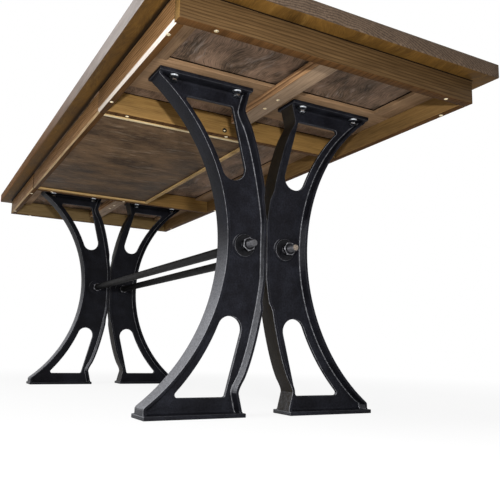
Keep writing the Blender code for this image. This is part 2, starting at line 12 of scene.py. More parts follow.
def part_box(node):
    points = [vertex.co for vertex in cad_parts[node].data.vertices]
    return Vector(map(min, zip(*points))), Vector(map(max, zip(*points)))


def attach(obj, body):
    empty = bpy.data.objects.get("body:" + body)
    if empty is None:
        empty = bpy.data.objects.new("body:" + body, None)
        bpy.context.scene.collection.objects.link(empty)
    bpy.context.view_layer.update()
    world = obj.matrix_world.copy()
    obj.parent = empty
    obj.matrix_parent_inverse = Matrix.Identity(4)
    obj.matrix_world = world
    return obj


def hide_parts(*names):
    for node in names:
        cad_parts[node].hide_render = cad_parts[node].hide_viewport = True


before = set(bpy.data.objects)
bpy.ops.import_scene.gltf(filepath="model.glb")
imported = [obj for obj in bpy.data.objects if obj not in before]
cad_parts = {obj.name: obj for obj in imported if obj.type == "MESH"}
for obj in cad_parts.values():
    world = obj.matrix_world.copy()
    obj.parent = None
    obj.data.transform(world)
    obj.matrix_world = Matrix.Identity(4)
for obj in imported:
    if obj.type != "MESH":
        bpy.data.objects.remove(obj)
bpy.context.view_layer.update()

scene = bpy.context.scene


# Top slab
# Edge-glued pine staves, planed and sanded to one thickness, with the arris eased by hand.
# The upper face and the edges are oiled; the underside is only stained and stays darker.

TOP_ARRIS = 0.0007
STAVE_WIDTH = 0.1089
SEAM_WIDTH = 0.0007
WOOD_IOR = 1.47
UNDERSIDE_LIMIT = -0.9
EDGE_LIMIT = 0.3
TOUCHING = 0.0006
MERGE = 1e-6
SHARP = 0.5
SHORTEST = 0.012
# Round every part that meets the slab's underside, a thin margin takes the dark joint colour: a painted
# shadow line.
FOOTPRINT_SHADE_MARGIN = 0.0022
EAVE, UNDERSIDE, FRONT_EDGE, FOOTPRINT_SHADE, END_GRAIN = range(1, 6)
NODE_FAMILIES = ("ShaderNode", "GeometryNode", "FunctionNode", "Node")


def linear(code):
    """An sRGB hex colour as linear light."""
    parts = [int(code[i:i + 2], 16) / 255 for i in (1, 3, 5)]
    return tuple(c / 12.92 if c <= 0.04045 else ((c + 0.055) / 1.055) ** 2.4 for c in parts) + (1.0,)


def set_inputs(node, inputs):
    """Links a node's inputs to sockets or sets them to plain values; a list links several to one."""
    for key, given in inputs.items():
        for value in given if isinstance(given, list) else [given]:
            if isinstance(value, bpy.types.NodeSocket):
                node.id_data.links.new(value, node.inputs[key])
            else:
                node.inputs[key].default_value = value


def add_node(tree, kind, *values, stops=(), **settings):
    """The outputs of a new node, made with its settings, its inputs and the stops of its ramp.

    The node goes by its short name. The inputs come in their order, or in one dict by name or number.
    """
    family = next(f for f in NODE_FAMILIES if hasattr(bpy.types, f + kind))
    node = tree.nodes.new(family + kind)
    for key, value in settings.items():
        setattr(node, key, value)
    named = values and isinstance(values[0], dict)
    set_inputs(node, values[0] if named else dict(enumerate(values)))
    for i, (place, colour) in enumerate(stops):
        stop = node.color_ramp.elements[i] if i < 2 else node.color_ramp.elements.new(place)
        stop.position = place
        stop.color = linear(colour) if isinstance(colour, str) else (colour, colour, colour, 1.0)
    return node.outputs


def start_material(name):
    """A new material with a way to add its nodes, its shader and the piece's own coordinates."""
    material = bpy.data.materials.new(name)
    material.use_nodes = True
    add = partial(add_node, material.node_tree)
    return material, add, material.node_tree.nodes["Principled BSDF"], add("TexCoord")["Object"]


def pine(name, along, early, late, shift, ring=0.0055, pith=(0.05, -0.06), stave=0.0, haze=0.12, rough=0.52,
         gloss_level=0.14, bold=0.42, painted_sheen=None):
    """Sawn and oiled pine as a solid: growth rings round a pith, fine fibres, and grime in patches.

    The eye sees straight lines along the board, arcs on the end grain and a faint silk gloss. Given a sheen
    colour, the piece turns toward it at the right-hand end: a painted sheen of light.
    """
    material, add, shader, spot = start_material(name)
    turn = (0.0, 0.0, -math.pi / 2 if along == "Y" else 0.0)
    place = add("Mapping", {"Vector": spot, "Rotation": turn, "Location": shift})[0]
    if stave:
        split = add("SeparateXYZ", place)
        across = add("Math", split[1], stave, operation="DIVIDE")[0]
        count = add("Math", across, operation="FLOOR")[0]
        own = add("TexWhiteNoise", {"W": count}, noise_dimensions="1D")
        middle = add("Math", count, -stave, -stave / 2, operation="MULTIPLY_ADD")
        middle = add("CombineXYZ", {1: middle[0]})[0]
        centred = add("VectorMath", place, middle, operation="ADD")[0]
        slid = add("VectorMath", own["Color"], (3.0, 0.06, 0.07), centred, operation="MULTIPLY_ADD")
        seam = add("Math", across, operation="FRACT")[0]
        seam = add("Math", seam, 0.5, operation="SUBTRACT")[0]
        seam = add("Math", seam, operation="ABSOLUTE")[0]
        place = slid[0]
    bend = add("VectorMath", place, (1.6, 9.0, 9.0), operation="MULTIPLY")[0]
    bend = add("TexNoise", {"Vector": bend, "Scale": 1.0, "Detail": 3.0})["Fac"]
    heart = add("VectorMath", place, (0.035, 1.0, 1.0), (0.0,) + pith, operation="MULTIPLY_ADD")[0]
    radius = add("VectorMath", heart, operation="LENGTH")["Value"]
    radius = add("Math", bend, 0.030, radius, operation="MULTIPLY_ADD")[0]
    years = add("Math", radius, 1 / ring, operation="MULTIPLY")[0]
    years = add("Math", years, operation="FRACT")[0]
    years = add("ValToRGB", years, stops=((0.0, 0.10), (1.0, 0.25), (0.55, 0.35), (0.86, 1.0)))[0]
    fibre = add("VectorMath", place, (14.0, 420.0, 420.0), operation="MULTIPLY")[0]
    fibre = add("TexNoise", {"Vector": fibre, "Scale": 1.0, "Detail": 4.0})["Fac"]
    grain = add("Math", years, bold, -0.22, operation="MULTIPLY_ADD")[0]
    grain = add("Math", fibre, 1.1, grain, operation="MULTIPLY_ADD")[0]
    wood = add("ValToRGB", grain, stops=((0.12, early), (0.82, late)))[0]
    # Painted sheen: toward the right-hand end the colour turns to the given pale tone.
    if painted_sheen:
        end = add("SeparateXYZ", spot)[0]
        end = add("MapRange", end, -0.25, 0.75, 0.0, 0.8, interpolation_type="SMOOTHSTEP")[0]
        wood = add("Mix", {0: end, 6: wood, 7: linear(painted_sheen)}, data_type="RGBA")[2]
    cloud = add("VectorMath", place, (4.0, 16.0, 16.0), operation="MULTIPLY")[0]
    cloud = add("TexNoise", {"Vector": cloud, "Scale": 1.0, "Detail": 8.0, "Roughness": 0.68})["Fac"]
    if stave:
        cloud = add("Math", own["Value"], 0.5, cloud, operation="MULTIPLY_ADD")[0]
    shade = add("MapRange", cloud, 0.3, 1.1 if stave else 0.8, 1.0 - 2.5 * haze, 1.0 + haze)[0]
    if stave:
        groove = add("MapRange", seam, 0.5 - SEAM_WIDTH / stave, 0.5, 1.0, 0.45)
        shade = add("Math", shade, groove[0], operation="MULTIPLY")[0]
    colour = add("VectorMath", {0: wood, "Scale": shade}, operation="SCALE")[0]
    gloss = add("MapRange", fibre, 0.2, 0.8, rough - 0.07, rough + 0.12)[0]
    bump = add("Bump", {"Height": grain, "Distance": 0.0004, "Strength": 0.35})[0]
    set_inputs(shader, {"Base Color": colour, "Roughness": gloss, "Normal": bump, "IOR": WOOD_IOR,
                        "Specular IOR Level": gloss_level})
    return material


def read_mesh(mesh):
    bm = bmesh.new()
    bm.from_mesh(mesh)
    return bm


def write_mesh(bm, mesh):
    bm.to_mesh(mesh)
    bm.free()
    return mesh


def put(name, data):
    """A new object in the scene."""
    thing = bpy.data.objects.new(name, data)
    scene.collection.objects.link(thing)
    return thing


def worked_copy(node, arris):
    """The CAD board, merged, with its long outer edges eased as with a sanding block."""
    bm = read_mesh(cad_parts[node].data)
    bmesh.ops.remove_doubles(bm, verts=bm.verts, dist=MERGE)
    bmesh.ops.dissolve_limit(bm, angle_limit=math.radians(1), verts=bm.verts, edges=bm.edges)
    edges = [e for e in bm.edges if e.is_manifold and e.is_convex
             and e.calc_face_angle() > SHARP and e.calc_length() > SHORTEST]
    bmesh.ops.bevel(bm, geom=edges, offset=arris, segments=2, profile=0.5, affect="EDGES",
                    clamp_overlap=True)
    return write_mesh(bm, bpy.data.meshes.new(node))


def fit_piece(name, mesh, body, slot, nodes, *materials):
    """One finished piece, in place in its mesh, riding on its body."""
    piece = put(name, mesh)
    for material in materials:
        mesh.materials.append(material)
    mesh.shade_smooth()
    mesh.set_sharp_from_angle(angle=math.radians(35))
    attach(piece, body)
    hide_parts(*nodes)


def stained_panel(name, along, dark, light, scuff, shift, rough=0.66, wander=0.10, painted_shade_and_grime=None,
                  span=(0.57, 1.05)):
    """Stained raw wood: blotches of uneven stain, short torn fibres, dark checks and pale scuffs.

    Round a frame of the half size given, the wood darkens to a margin: painted shade in the corner along
    the apron, partly old soiling.
    """
    material, add, shader, spot = start_material(name)
    turn = (0.0, 0.0, -math.pi / 2 if along == "Y" else 0.0)
    place = add("Mapping", {"Vector": spot, "Rotation": turn, "Location": shift})[0]
    swirl = add("TexNoise", {"Vector": place, "Scale": 1 / 0.15, "Detail": 2.0})["Color"]
    place = add("VectorMath", swirl, (wander, wander, 0.0), place, operation="MULTIPLY_ADD")[0]
    fields = {}
    for label, length, width, detail in (("blotch", 0.12, 0.06, 8.0), ("fibre", 0.03, 0.0022, 3.0),
                                         ("check", 0.030, 0.004, 2.0), ("scuff", 0.06, 0.014, 6.0)):
        stretch = (1 / length, 1 / width, 1 / width)
        vector = add("VectorMath", place, stretch, operation="MULTIPLY")[0]
        fields[label] = add("TexNoise", {"Vector": vector, "Scale": 1.0, "Detail": detail,
                                         "Roughness": 0.66})["Fac"]
    tone = add("Math", fields["fibre"], 0.60, fields["blotch"], operation="MULTIPLY_ADD")[0]
    stain = add("ValToRGB", tone, stops=((span[0], dark), (span[1], light)))[0]
    wear_and_highlight = add("MapRange", fields["scuff"], 0.56, 0.76, 0.0, 0.55)[0]
    stain = add("Mix", {0: wear_and_highlight, 6: stain, 7: linear(scuff)}, data_type="RGBA")[2]
    split = add("MapRange", fields["check"], 0.66, 0.76, 1.0, 0.45)[0]
    stain = add("VectorMath", {0: stain, "Scale": split}, operation="SCALE")[0]
    # Painted shade, partly soiling: darker within a few millimetres of the frame.
    if painted_shade_and_grime:
        away = add("VectorMath", spot, operation="ABSOLUTE")[0]
        away = add("VectorMath", away, painted_shade_and_grime, operation="SUBTRACT")[0]
        away = add("SeparateXYZ", away)
        away = add("Math", away[0], away[1], operation="MAXIMUM")[0]
        shade_and_dirt = add("MapRange", away, 0.005, 0.012, 0.16, 1.0)[0]
        stain = add("VectorMath", {0: stain, "Scale": shade_and_dirt}, operation="SCALE")[0]
    dull = add("MapRange", fields["blotch"], 0.3, 0.7, rough - 0.06, rough + 0.1)[0]
    torn = add("Bump", {"Height": fields["fibre"], "Distance": 0.0004, "Strength": 0.3})[0]
    set_inputs(shader, {"Base Color": stain, "Roughness": dull, "Normal": torn,
                        "Specular IOR Level": 0.08})
    return material


top_wood = pine("oiled_pine_staves", "X", "#b28a5c", "#7c5630", (0.31, 0.045, 0.0), stave=STAVE_WIDTH,
                pith=(0.01, -0.07), haze=0.16, rough=0.46)
# The front edge turns pale grey toward the right-hand end: a painted sheen of light.
edge_wood = pine("pine_front_edge_with_painted_sheen", "X", "#8a602d", "#603d18", (0.31, 0.045, 0.0), ring=0.004,
                 haze=0.2, rough=0.5, bold=0.8, gloss_level=0.02, painted_sheen="#ada8a6")
apron_low, apron_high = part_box("front_rail_left")[0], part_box("back_rail")[1]
# The overhang darkens next to the apron: painted shade in that corner, partly soiling.
eave_wood = stained_panel("oiled_pine_overhang", "X", "#37250c", "#5f431b", "#765a2e", (0.6, 0.3, 0.4),
                          rough=0.6, painted_shade_and_grime=(apron_high.x, apron_high.y, 0.0))
under_wood = stained_panel("stained_pine_underside", "X", "#372d24", "#866d5a", "#9a8d83", (1.7, 0.02, 0.4),
                           span=(0.64, 1.02))
end_grain = pine("weathered_pine_end_grain", "X", "#6b5a4b", "#3e332a", (0.1, 0.045, 0.0), ring=0.005,
                 rough=0.6, bold=0.6, gloss_level=0.06)
# Near-black pine for joints, crevices and gaps: painted shade where parts meet.
joint_shade = pine("painted_shade_in_the_joint", "X", "#231a11", "#140d07", (0.1, 0.2, 0.3), rough=0.7,
                  gloss_level=0.04)
slab = worked_copy("top_slab", TOP_ARRIS)
under_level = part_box("top_slab")[0].z
footprints = [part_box(node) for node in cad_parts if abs(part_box(node)[1].z - under_level) < TOUCHING]
margin = Vector((FOOTPRINT_SHADE_MARGIN, FOOTPRINT_SHADE_MARGIN, 0.0))
footprints = [(low - margin, high + margin) for low, high in footprints]
scored = read_mesh(slab)
for axis, way in ((0, (1, 0, 0)), (1, (0, 1, 0))):
    for cut in sorted({round(c[axis], 4) for pair in footprints + [(apron_low, apron_high)] for c in pair}):
        whole = scored.verts[:] + scored.edges[:] + scored.faces[:]
        bmesh.ops.bisect_plane(scored, geom=whole, plane_co=(cut, cut, 0.0), plane_no=way)
for face in scored.faces:
    middle = face.calc_center_median()
    inside = apron_low.x < middle.x < apron_high.x and apron_low.y < middle.y < apron_high.y
    in_footprint_shade = any(low.x < middle.x < high.x and low.y < middle.y < high.y for low, high in footprints)
    if face.normal.z < UNDERSIDE_LIMIT:
        face.material_index = FOOTPRINT_SHADE if in_footprint_shade else UNDERSIDE if inside else EAVE
    elif abs(face.normal.x) > EDGE_LIMIT:
        face.material_index = END_GRAIN
    elif face.normal.y < -EDGE_LIMIT:
        face.material_index = FRONT_EDGE
write_mesh(scored, slab)
fit_piece("slab", slab, "desk_frame", "oiled_pine_top", ["top_slab"], top_wood, eave_wood, under_wood,
          edge_wood, joint_shade, end_grain)


# Apron
# Planks on edge, glued and screwed up under the slab: a back rail, two front rails beside the drawer,
# two end rails, and two cross rails that close the drawer bay. The lower front edge is planed off.

RAIL_ARRIS = 0.0011
SANDED_AND_GLARE_BAND = 0.0028
STEEPEST = -0.85
SLANTED = -0.5
END_FACING = 0.9
OUT_FACING = 0.75
EASED = (0.2, 0.95)
GOLDEN = ("#987643", "#6e5027")
# Copies of the golden tone: the back rail's is darker, painted shade as light falls on it at a slant; the
# far end rail's is paler and greyer, painted light to make up for the lamp falling off there.
GOLDEN_IN_PAINTED_SHADE = ("#795d36", "#573f20")
GOLDEN_WITH_PAINTED_LIGHT = ("#917951", "#6c5634")
FRONT_STAIN = ("#b98e60", "#634629")
END_STAIN = ("#604a2f", "#3e2d1a")
RAILS = (("back_rail", (0, 1, 0), GOLDEN_IN_PAINTED_SHADE), ("front_rail_right", (0, -1, 0), GOLDEN),
         ("front_rail_left", (0, -1, 0), GOLDEN), ("end_rail_right", (1, 0, 0), GOLDEN),
         ("end_rail_left", (-1, 0, 0), GOLDEN_WITH_PAINTED_LIGHT), ("cross_rail_right", (0, 0, -1), GOLDEN),
         ("cross_rail_left", (0, 0, -1), GOLDEN))
STAINED, LOWER, PLANED, JOINT_SHADE = range(1, 5)


def show_finish(mesh, outward, band=0.0):
    """Which faces took the stain: the outside and the underside.

    The planed edge was sanded bare again; the band given widens that pale strip up the outside, as painted
    glare.
    """
    planed = [f for f in mesh.polygons if STEEPEST < f.normal.z < SLANTED and f.normal.y < SLANTED]
    top = -1.0
    if planed:
        top = band + max(mesh.vertices[i].co.z for f in planed for i in f.vertices)
    if band:
        bm = read_mesh(mesh)
        bmesh.ops.bisect_plane(bm, geom=bm.verts[:] + bm.edges[:] + bm.faces[:], plane_co=(0.0, 0.0, top),
                               plane_no=(0.0, 0.0, 1.0))
        write_mesh(bm, mesh)
    for face in mesh.polygons:
        side = face.normal
        if STEEPEST < side.z and side.y < SLANTED and face.center.z < top:
            face.material_index = PLANED
        # The end faces at the joints beside the drawer take the dark joint colour: painted shade in the
        # gaps.
        elif top > 0.0 and abs(side.x) > END_FACING:
            face.material_index = JOINT_SHADE
        elif side.z < UNDERSIDE_LIMIT:
            face.material_index = LOWER
        elif side.dot(Vector(outward)) > OUT_FACING:
            face.material_index = STAINED


def paint_joint_shade(mesh, finish):
    """The eased upper edges, tight against the slab, take the dark joint colour: painted shade in the
    crevice.
    """
    for face in mesh.polygons:
        if EASED[0] < face.normal.z < EASED[1]:
            face.material_index = finish


lower_edge = pine("stained_pine_lower_edge", "X", "#5d4024", "#3b2714", (0.2, 0.4, 0.6), rough=0.6,
                  gloss_level=0.02)
# The right front rail's planed edge: bare sanded pine with painted glare, near white toward the right-hand
# end.
sanded_edge_with_painted_glare = pine("sanded_pine_edge_with_painted_glare", "X", "#cbb18e", "#9d7d56", (0.4, 0.0, 0.1), ring=0.004, haze=0.1,
                   rough=0.5, painted_sheen="#ece4dc")
dull_edge = pine("dull_pine_edge", "X", "#d0b58e", "#a0815a", (0.4, 0.0, 0.1), ring=0.004, haze=0.2,
                 rough=0.55, gloss_level=0.06)
for number, (node, outward, inner) in enumerate(RAILS):
    along, outer = ("Y", END_STAIN) if "end" in node or "cross" in node else ("X", FRONT_STAIN)
    shift = (0.37 * number, 0.11 * number, 0.5 - 0.06 * number)
    bare = pine(f"bare_pine_{node}", along, *inner, shift, ring=0.0045, haze=0.18, rough=0.6, bold=0.16)
    stained = pine(f"stained_pine_{node}", along, *outer, shift, rough=0.5, bold=0.6, gloss_level=0.05)
    rail = worked_copy(node, RAIL_ARRIS)
    # Only the right front rail takes the wider, whiter planed edge: painted glare on bare sanded wood.
    show_finish(rail, outward, SANDED_AND_GLARE_BAND if node == "front_rail_right" else 0.0)
    paint_joint_shade(rail, JOINT_SHADE)
    planed = sanded_edge_with_painted_glare if node == "front_rail_right" else dull_edge
    fit_piece(f"apron_{node}", rail, "desk_frame", "oiled_pine_rails", [node], bare, stained, lower_edge,
              planed, joint_shade)


# Boards and battens under the slab
# Rough-sawn offcuts of the same pine: a board under each pair of top plates, five thin battens along
# the rails, and a bearer between the half legs of each pair, all screwed up into the slab.

BOARD_ARRIS = 0.0008
JOINT_ARRIS = 0.0016
SIDE_FACING = 0.6
SAWN = ("#94775a", "#684f36")
GREYED = ("#a58c72", "#77614c")
STREAKED = ("#d1a577", "#6f4f35")
ROUGH_BOARDS = (("mounting_board_right", "Y"), ("mounting_board_left", "Y"), ("batten_front_right", "X"),
                ("batten_front_left", "X"), ("batten_back_right", "X"), ("batten_back_left", "X"),
                ("batten_back_middle", "X"), ("centre_bearer_right", "X"), ("centre_bearer_left", "X"))
BOARD_JOINT_SHADE, BEARER_SIDE = range(1, 3)

for number, (node, along) in enumerate(ROUGH_BOARDS):
    bearer = "bearer" in node
    shift = (0.53 * number, 0.07 * number, 0.2 + 0.05 * number)
    wood = pine(f"rough_pine_{node}", along, *(GREYED if bearer else SAWN), shift, haze=0.2, rough=0.66,
                bold=0.2)
    board = worked_copy(node, BOARD_ARRIS if bearer else JOINT_ARRIS)
    finishes = [wood, joint_shade]
    # Painted shade along the upper edges against the slab.
    paint_joint_shade(board, BOARD_JOINT_SHADE)
    if bearer:
        finishes.append(pine(f"streaked_pine_{node}", along, *STREAKED, shift, ring=0.011, rough=0.6,
                             bold=0.7))
        for face in board.polygons:
            if abs(face.normal.y) > SIDE_FACING:
                face.material_index = BEARER_SIDE
    fit_piece(f"under_{node}", board, "desk_frame", "rough_pine_boards", [node], *finishes)


# Drawer runners
# Two planed hardwood strips screwed to the cross rails; the drawer's grooved sides slide on them.

for number, node in enumerate(("drawer_runner_right", "drawer_runner_left")):
    wood = pine(f"waxed_{node}", "Y", "#bd9a68", "#94703f", (0.2 + number, 0.3, 0.6), ring=0.003, rough=0.4)
    strip = worked_copy(node, BOARD_ARRIS)
    fit_piece(f"guide_{node}", strip, "desk_frame", "drawer_pine", [node], wood)


# Drawer box
# A shallow box: the front matches the apron, the sides and the back are pale bare pine, glued and
# pinned, and a dark plywood bottom sits in a groove a little above their lower edges.

face_shift = (0.9, 0.05, 0.33)
bare = pine("bare_pine_drawer_front", "X", *GOLDEN, face_shift, ring=0.0045, rough=0.6, bold=0.16)
stained = pine("stained_pine_drawer_front", "X", *FRONT_STAIN, face_shift, rough=0.5, bold=0.6,
               gloss_level=0.05)
drawer_face = worked_copy("drawer_front", RAIL_ARRIS)
show_finish(drawer_face, (0, -1, 0))
fit_piece("drawer_face", drawer_face, "drawer", "oiled_pine_rails", ["drawer_front"], bare, stained,
          lower_edge, dull_edge, joint_shade)
# The right-hand side's lower edge is much paler than the others: bare pine brightened with painted light.
drawer_edge_with_painted_light = pine("drawer_pine_edges_with_painted_light", "Y", "#efe2c4", "#cdb88c", (0.3, 0.2, 0.7), haze=0.08, rough=0.6)
dull_lower_edge = pine("dull_pine_drawer_edges", "Y", "#c4a46f", "#94754a", (0.3, 0.2, 0.7), haze=0.2,
                       rough=0.6)
for number, (node, along) in enumerate((("drawer_side_right", "Y"), ("drawer_side_left", "Y"),
                                        ("drawer_back", "X"))):
    wood = pine(f"bare_pine_{node}", along, "#d8b780", "#ac8850", (0.6 + number, 0.4, 0.1), haze=0.08,
                rough=0.6)
    board = worked_copy(node, BOARD_ARRIS)
    for face in board.polygons:
        face.material_index = int(face.normal.z < UNDERSIDE_LIMIT)
    fit_piece(f"box_{node}", board, "drawer", "drawer_pine", [node], wood,
              drawer_edge_with_painted_light if node == "drawer_side_right" else dull_lower_edge)
panel_wood = stained_panel("dark_rotary_cut_plywood", "Y", "#2b1f14", "#6d563f", "#8d7d6b", (0.2, 0.2, 0.0),
                           wander=0.03, span=(0.64, 1.02))
fit_piece("drawer_panel", worked_copy("drawer_bottom", BOARD_ARRIS), "drawer", "dark_plywood",
          ["drawer_bottom"], panel_wood)


# Half legs
# Four alike sand castings in grey iron, sprayed satin black: a web between two drafted rims, two windows,
# a boss for the tie bar, and a plate at each end. They stand in pairs, back to back, all but touching.

leg_low, leg_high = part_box("leg_back_right")
LEG_HEIGHT = leg_high.z
LEG_X = (leg_low.x + leg_high.x) / 2
PLATE_DEPTH = leg_high.x - leg_low.x
PLATE_OUTER = leg_high.y
HALF_GAP = leg_low.y
PLATE_INNER = 0.054
PLATE_THICKNESS = 0.0086
PLATE_ROUND = 0.0016
PLATE_FLAT = 0.95
FOOT_REACH = 0.272
TOE_HEIGHT = 0.0175
TOE_ROUND = 0.004
WAIST_RAISE = 0.0048
WAIST_REACH = 0.1018
FORK_HEIGHT = 0.2963
FORK_BEND = 0.020
KNEE = Vector((0.0674, 0.0542))
KNEE_BEND = 0.004
KNEE_ROUND = 6
KNEE_FLARE = Vector((-0.0379, 0.0411))
HEEL = Vector((0.0545, 0.0))
RIM_DEPTH = 0.0253
RIM_LIP = 0.0066
RIM_ROOT = 0.0080
RIM_ROUND = 0.0012
ROOT_FILLET = 0.0030
WAIST_RIM_DEPTH = 0.0155
RELIEF_START = 0.222
RELIEF_END = 0.243
WEB_HALF = 0.004
END_FILLET = 0.004
WINDOW_SILL = 0.0393
WINDOW_SILL_INNER = 0.0885
WINDOW_CROWN_INNER = 0.0525
WINDOW_CROWN_HEIGHT = 0.178
WINDOW_CROWN_RADIUS = 0.0278
WINDOW_BORDER = 0.0290
WINDOW_CORNER = 0.006
WINDOW_ROUND = 0.0016
WINDOW_STEP = 0.002
PLUG_OUT = (0.0012, 0.0035)
PLUG_LIPS = (1, 2, 8, 9)
PLUG_ANGLES = (0, 20, 40, 60, 78)
ROD_REACH = 0.052
ROD_HEIGHT = 0.362
ROD_HOLE = 0.0085
BOSS_RADIUS = 0.027
BOSS_FACE = 0.007
BOSS_SKIRT = 0.004
BOSS_SINK = 0.0006
BOSS_FILLET = 0.0028
BOSS_ROUND = 0.0012
BOSS_SIDES = 48
BOLT_OFFSET = 0.020
BOLT_REACHES = (0.087, 0.238)
BOLT_HOLE = 0.0044
ROD_DRILL = 0.05
BOLT_DRILL = 0.03
LEG_LEVELS = 112
WELD = 0.00001
# Grey on faces that lean up and outward, low on the leg: dust, and a painted sheen of light from above.
DUST_AND_SHEEN_COVER = 0.6
DUST_AND_SHEEN_LEVEL = 0.44
DUST_AND_SHEEN_FADE = 0.12
DUST_AND_SHEEN_LEAN = (-0.12, 0.38)
DUST_AND_SHEEN_SIDE = (0.3, 0.6)


def casting_paint(name, wear_and_highlight, soil=None):
    """Satin black sprayed on rough iron: near-black with a cold cast, sand grit and a dusty bloom.

    Given a highlight amount, the edges turn grey in specks: a painted highlight on the rounded edges. The
    flanks that lean upward, marked by the mesh attribute, carry grey dust and a painted sheen of light from
    above; brown wood dust clings to a soiled face.
    """
    material, add, shader, place = start_material(name)
    fields = {}
    for label, size, detail in (("bloom", 0.05, 8.0), ("speck", 0.007, 6.0), ("lump", 0.012, 2.0),
                                ("grit", 0.0030, 3.0)):
        fields[label] = add("TexNoise", {"Vector": place, "Scale": 1 / size, "Detail": detail,
                                         "Roughness": 0.62})["Fac"]
    colour = add("ValToRGB", fields["bloom"], stops=((0.40, "#111115"), (0.75, "#1e1f25")))[0]
    fleck = add("MapRange", fields["grit"], 0.35, 0.7, 0.65, 1.5)[0]
    colour = add("VectorMath", {0: colour, "Scale": fleck}, operation="SCALE")[0]
    # The attribute's grey: dust, and a painted sheen of light from above.
    film = add("Attribute", attribute_name="dust")["Fac"]
    film = add("Math", film, fleck, operation="MULTIPLY")[0]
    film = add("Math", film, DUST_AND_SHEEN_COVER, operation="MULTIPLY")[0]
    colour = add("Mix", {0: film, 6: colour, 7: linear("#8e8f94")}, data_type="RGBA")[2]
    if soil:
        grease = add("MapRange", fields["speck"], 0.3, 0.7, 0.45, 1.0)[0]
        colour = add("Mix", {0: grease, 6: colour, 7: linear(soil)}, data_type="RGBA")[2]
    if wear_and_highlight:
        edge_highlight = add("MapRange", fields["speck"], 0.38, 0.62, 0.25 * wear_and_highlight, wear_and_highlight)
        colour = add("Mix", {0: edge_highlight[0], 6: colour, 7: linear("#9a9b9f")}, data_type="RGBA")[2]
    satin = add("MapRange", fields["bloom"], 0.3, 0.8, 0.44, 0.6)[0]
    skin = add("Bump", {"Height": fields["lump"], "Distance": 0.0012, "Strength": 0.35})[0]
    skin = add("Bump", {"Height": fields["grit"], "Distance": 0.0003, "Strength": 0.4, "Normal": skin})[0]
    set_inputs(shader, {"Base Color": colour, "Roughness": satin, "Normal": skin,
                        "Specular IOR Level": 0.06})
    return material


# The second and third finishes paint highlights on the edges, strong and faint.
CASTING_FINISHES = (casting_paint("satin_black_paint_on_cast_iron", 0.0),
                    casting_paint("cast_iron_paint_with_painted_highlight", 0.55),
                    casting_paint("cast_iron_paint_with_faint_painted_highlight", 0.12),
                    casting_paint("soiled_paint_on_cast_iron", 0.0, soil="#231e16"))
HIGHLIGHT_EDGE, FAINT_HIGHLIGHT_EDGE, SOILED = range(1, 4)
# Painted highlights stay strong on edges that face the front, and on the seam faces of front castings or
# low down.
HIGHLIGHT_FACING = -0.15
HIGHLIGHT_BELOW = 0.33


def outer_arc():
    """Centre and radius of the concave outer edge, from its chord and its depth."""
    half_chord = LEG_HEIGHT / 2 - TOE_HEIGHT
    bulge = FOOT_REACH - WAIST_REACH
    radius = (half_chord ** 2 + bulge ** 2) / (2 * bulge)
    return Vector((WAIST_REACH + radius, LEG_HEIGHT / 2 + WAIST_RAISE)), radius


def part_way(value, start, end):
    """How far a value has come from start to end, from 0 to 1."""
    return min(max((value - start) / (end - start), 0.0), 1.0)


def outer_reach(z, inset=0.0):
    """How far the outer edge stands from the middle, with the toe rounded over."""
    centre, radius = outer_arc()
    arc = centre.x - math.sqrt((radius + inset) ** 2 - (z - centre.y) ** 2)
    flat = FOOT_REACH - inset
    share = part_way(flat - arc, -TOE_ROUND, TOE_ROUND)
    return flat + (arc - flat) * share - TOE_ROUND * share * (1 - share)


def inner_reach(z):
    """How far the inner edge stands from the middle: waist, fork, knee and heel."""
    height = min(z, LEG_HEIGHT - z)
    for upper, lower in zip(INNER_CURVE, INNER_CURVE[1:]):
        if height >= lower.y:
            break
    return upper.x + (lower.x - upper.x) * (height - upper.y) / (lower.y - upper.y)


def inner_rim_depth(z):
    """How far the inner rim stands out; it is lower where two castings meet."""
    share = part_way(min(z, LEG_HEIGHT - z), RELIEF_END, RELIEF_START)
    return WAIST_RIM_DEPTH + (RIM_DEPTH - WAIST_RIM_DEPTH) * share * share * (3 - 2 * share)


def quarter_arc(steps=4):
    return [math.pi / 2 * i / steps for i in range(steps + 1)]


def rim_profile(face, inward, lean, web, depth):
    """Half a rim in section, from its outer face to the web: round lip, draft, root fillet."""
    points = [(depth - RIM_ROUND + RIM_ROUND * math.sin(a), RIM_ROUND * (1 - math.cos(a)))
              for a in quarter_arc()]
    points += [(depth - RIM_ROUND + RIM_ROUND * math.cos(a), RIM_LIP - RIM_ROUND * (1 - math.sin(a)))
               for a in quarter_arc()]
    draft = (RIM_ROOT - RIM_LIP) / (depth - RIM_ROUND - web)
    start = Vector((web + ROOT_FILLET, RIM_ROOT - draft * ROOT_FILLET))
    corner = Vector((web, RIM_ROOT))
    end = Vector((web, RIM_ROOT + ROOT_FILLET))
    points += [tuple(p) for p in interpolate_bezier(start, (start + 2 * corner) / 3, (end + 2 * corner) / 3,
                                                    end, 7)]
    return [(x, face + inward * lean * y) for x, y in points]


def leg_section(z):
    """The whole section at one level; near the plates it swells into the cast fillet."""
    rise = min(z, LEG_HEIGHT - z) - PLATE_THICKNESS
    left = max(END_FILLET - max(rise, 0.0), 0.0)
    swell = END_FILLET - math.sqrt(END_FILLET ** 2 - left ** 2)
    step = 0.001
    leans = [math.hypot(1.0, (reach(z + step) - reach(z - step)) / (2 * step))
             for reach in (outer_reach, inner_reach)]
    outer = rim_profile(outer_reach(z), -1, leans[0], WEB_HALF + swell, RIM_DEPTH + swell)
    inner = rim_profile(inner_reach(z), 1, leans[1], WEB_HALF + swell, inner_rim_depth(z) + swell)
    near = outer + inner[::-1]
    return [(x, y, z) for x, y in near] + [(-x, y, z) for x, y in near[::-1]]


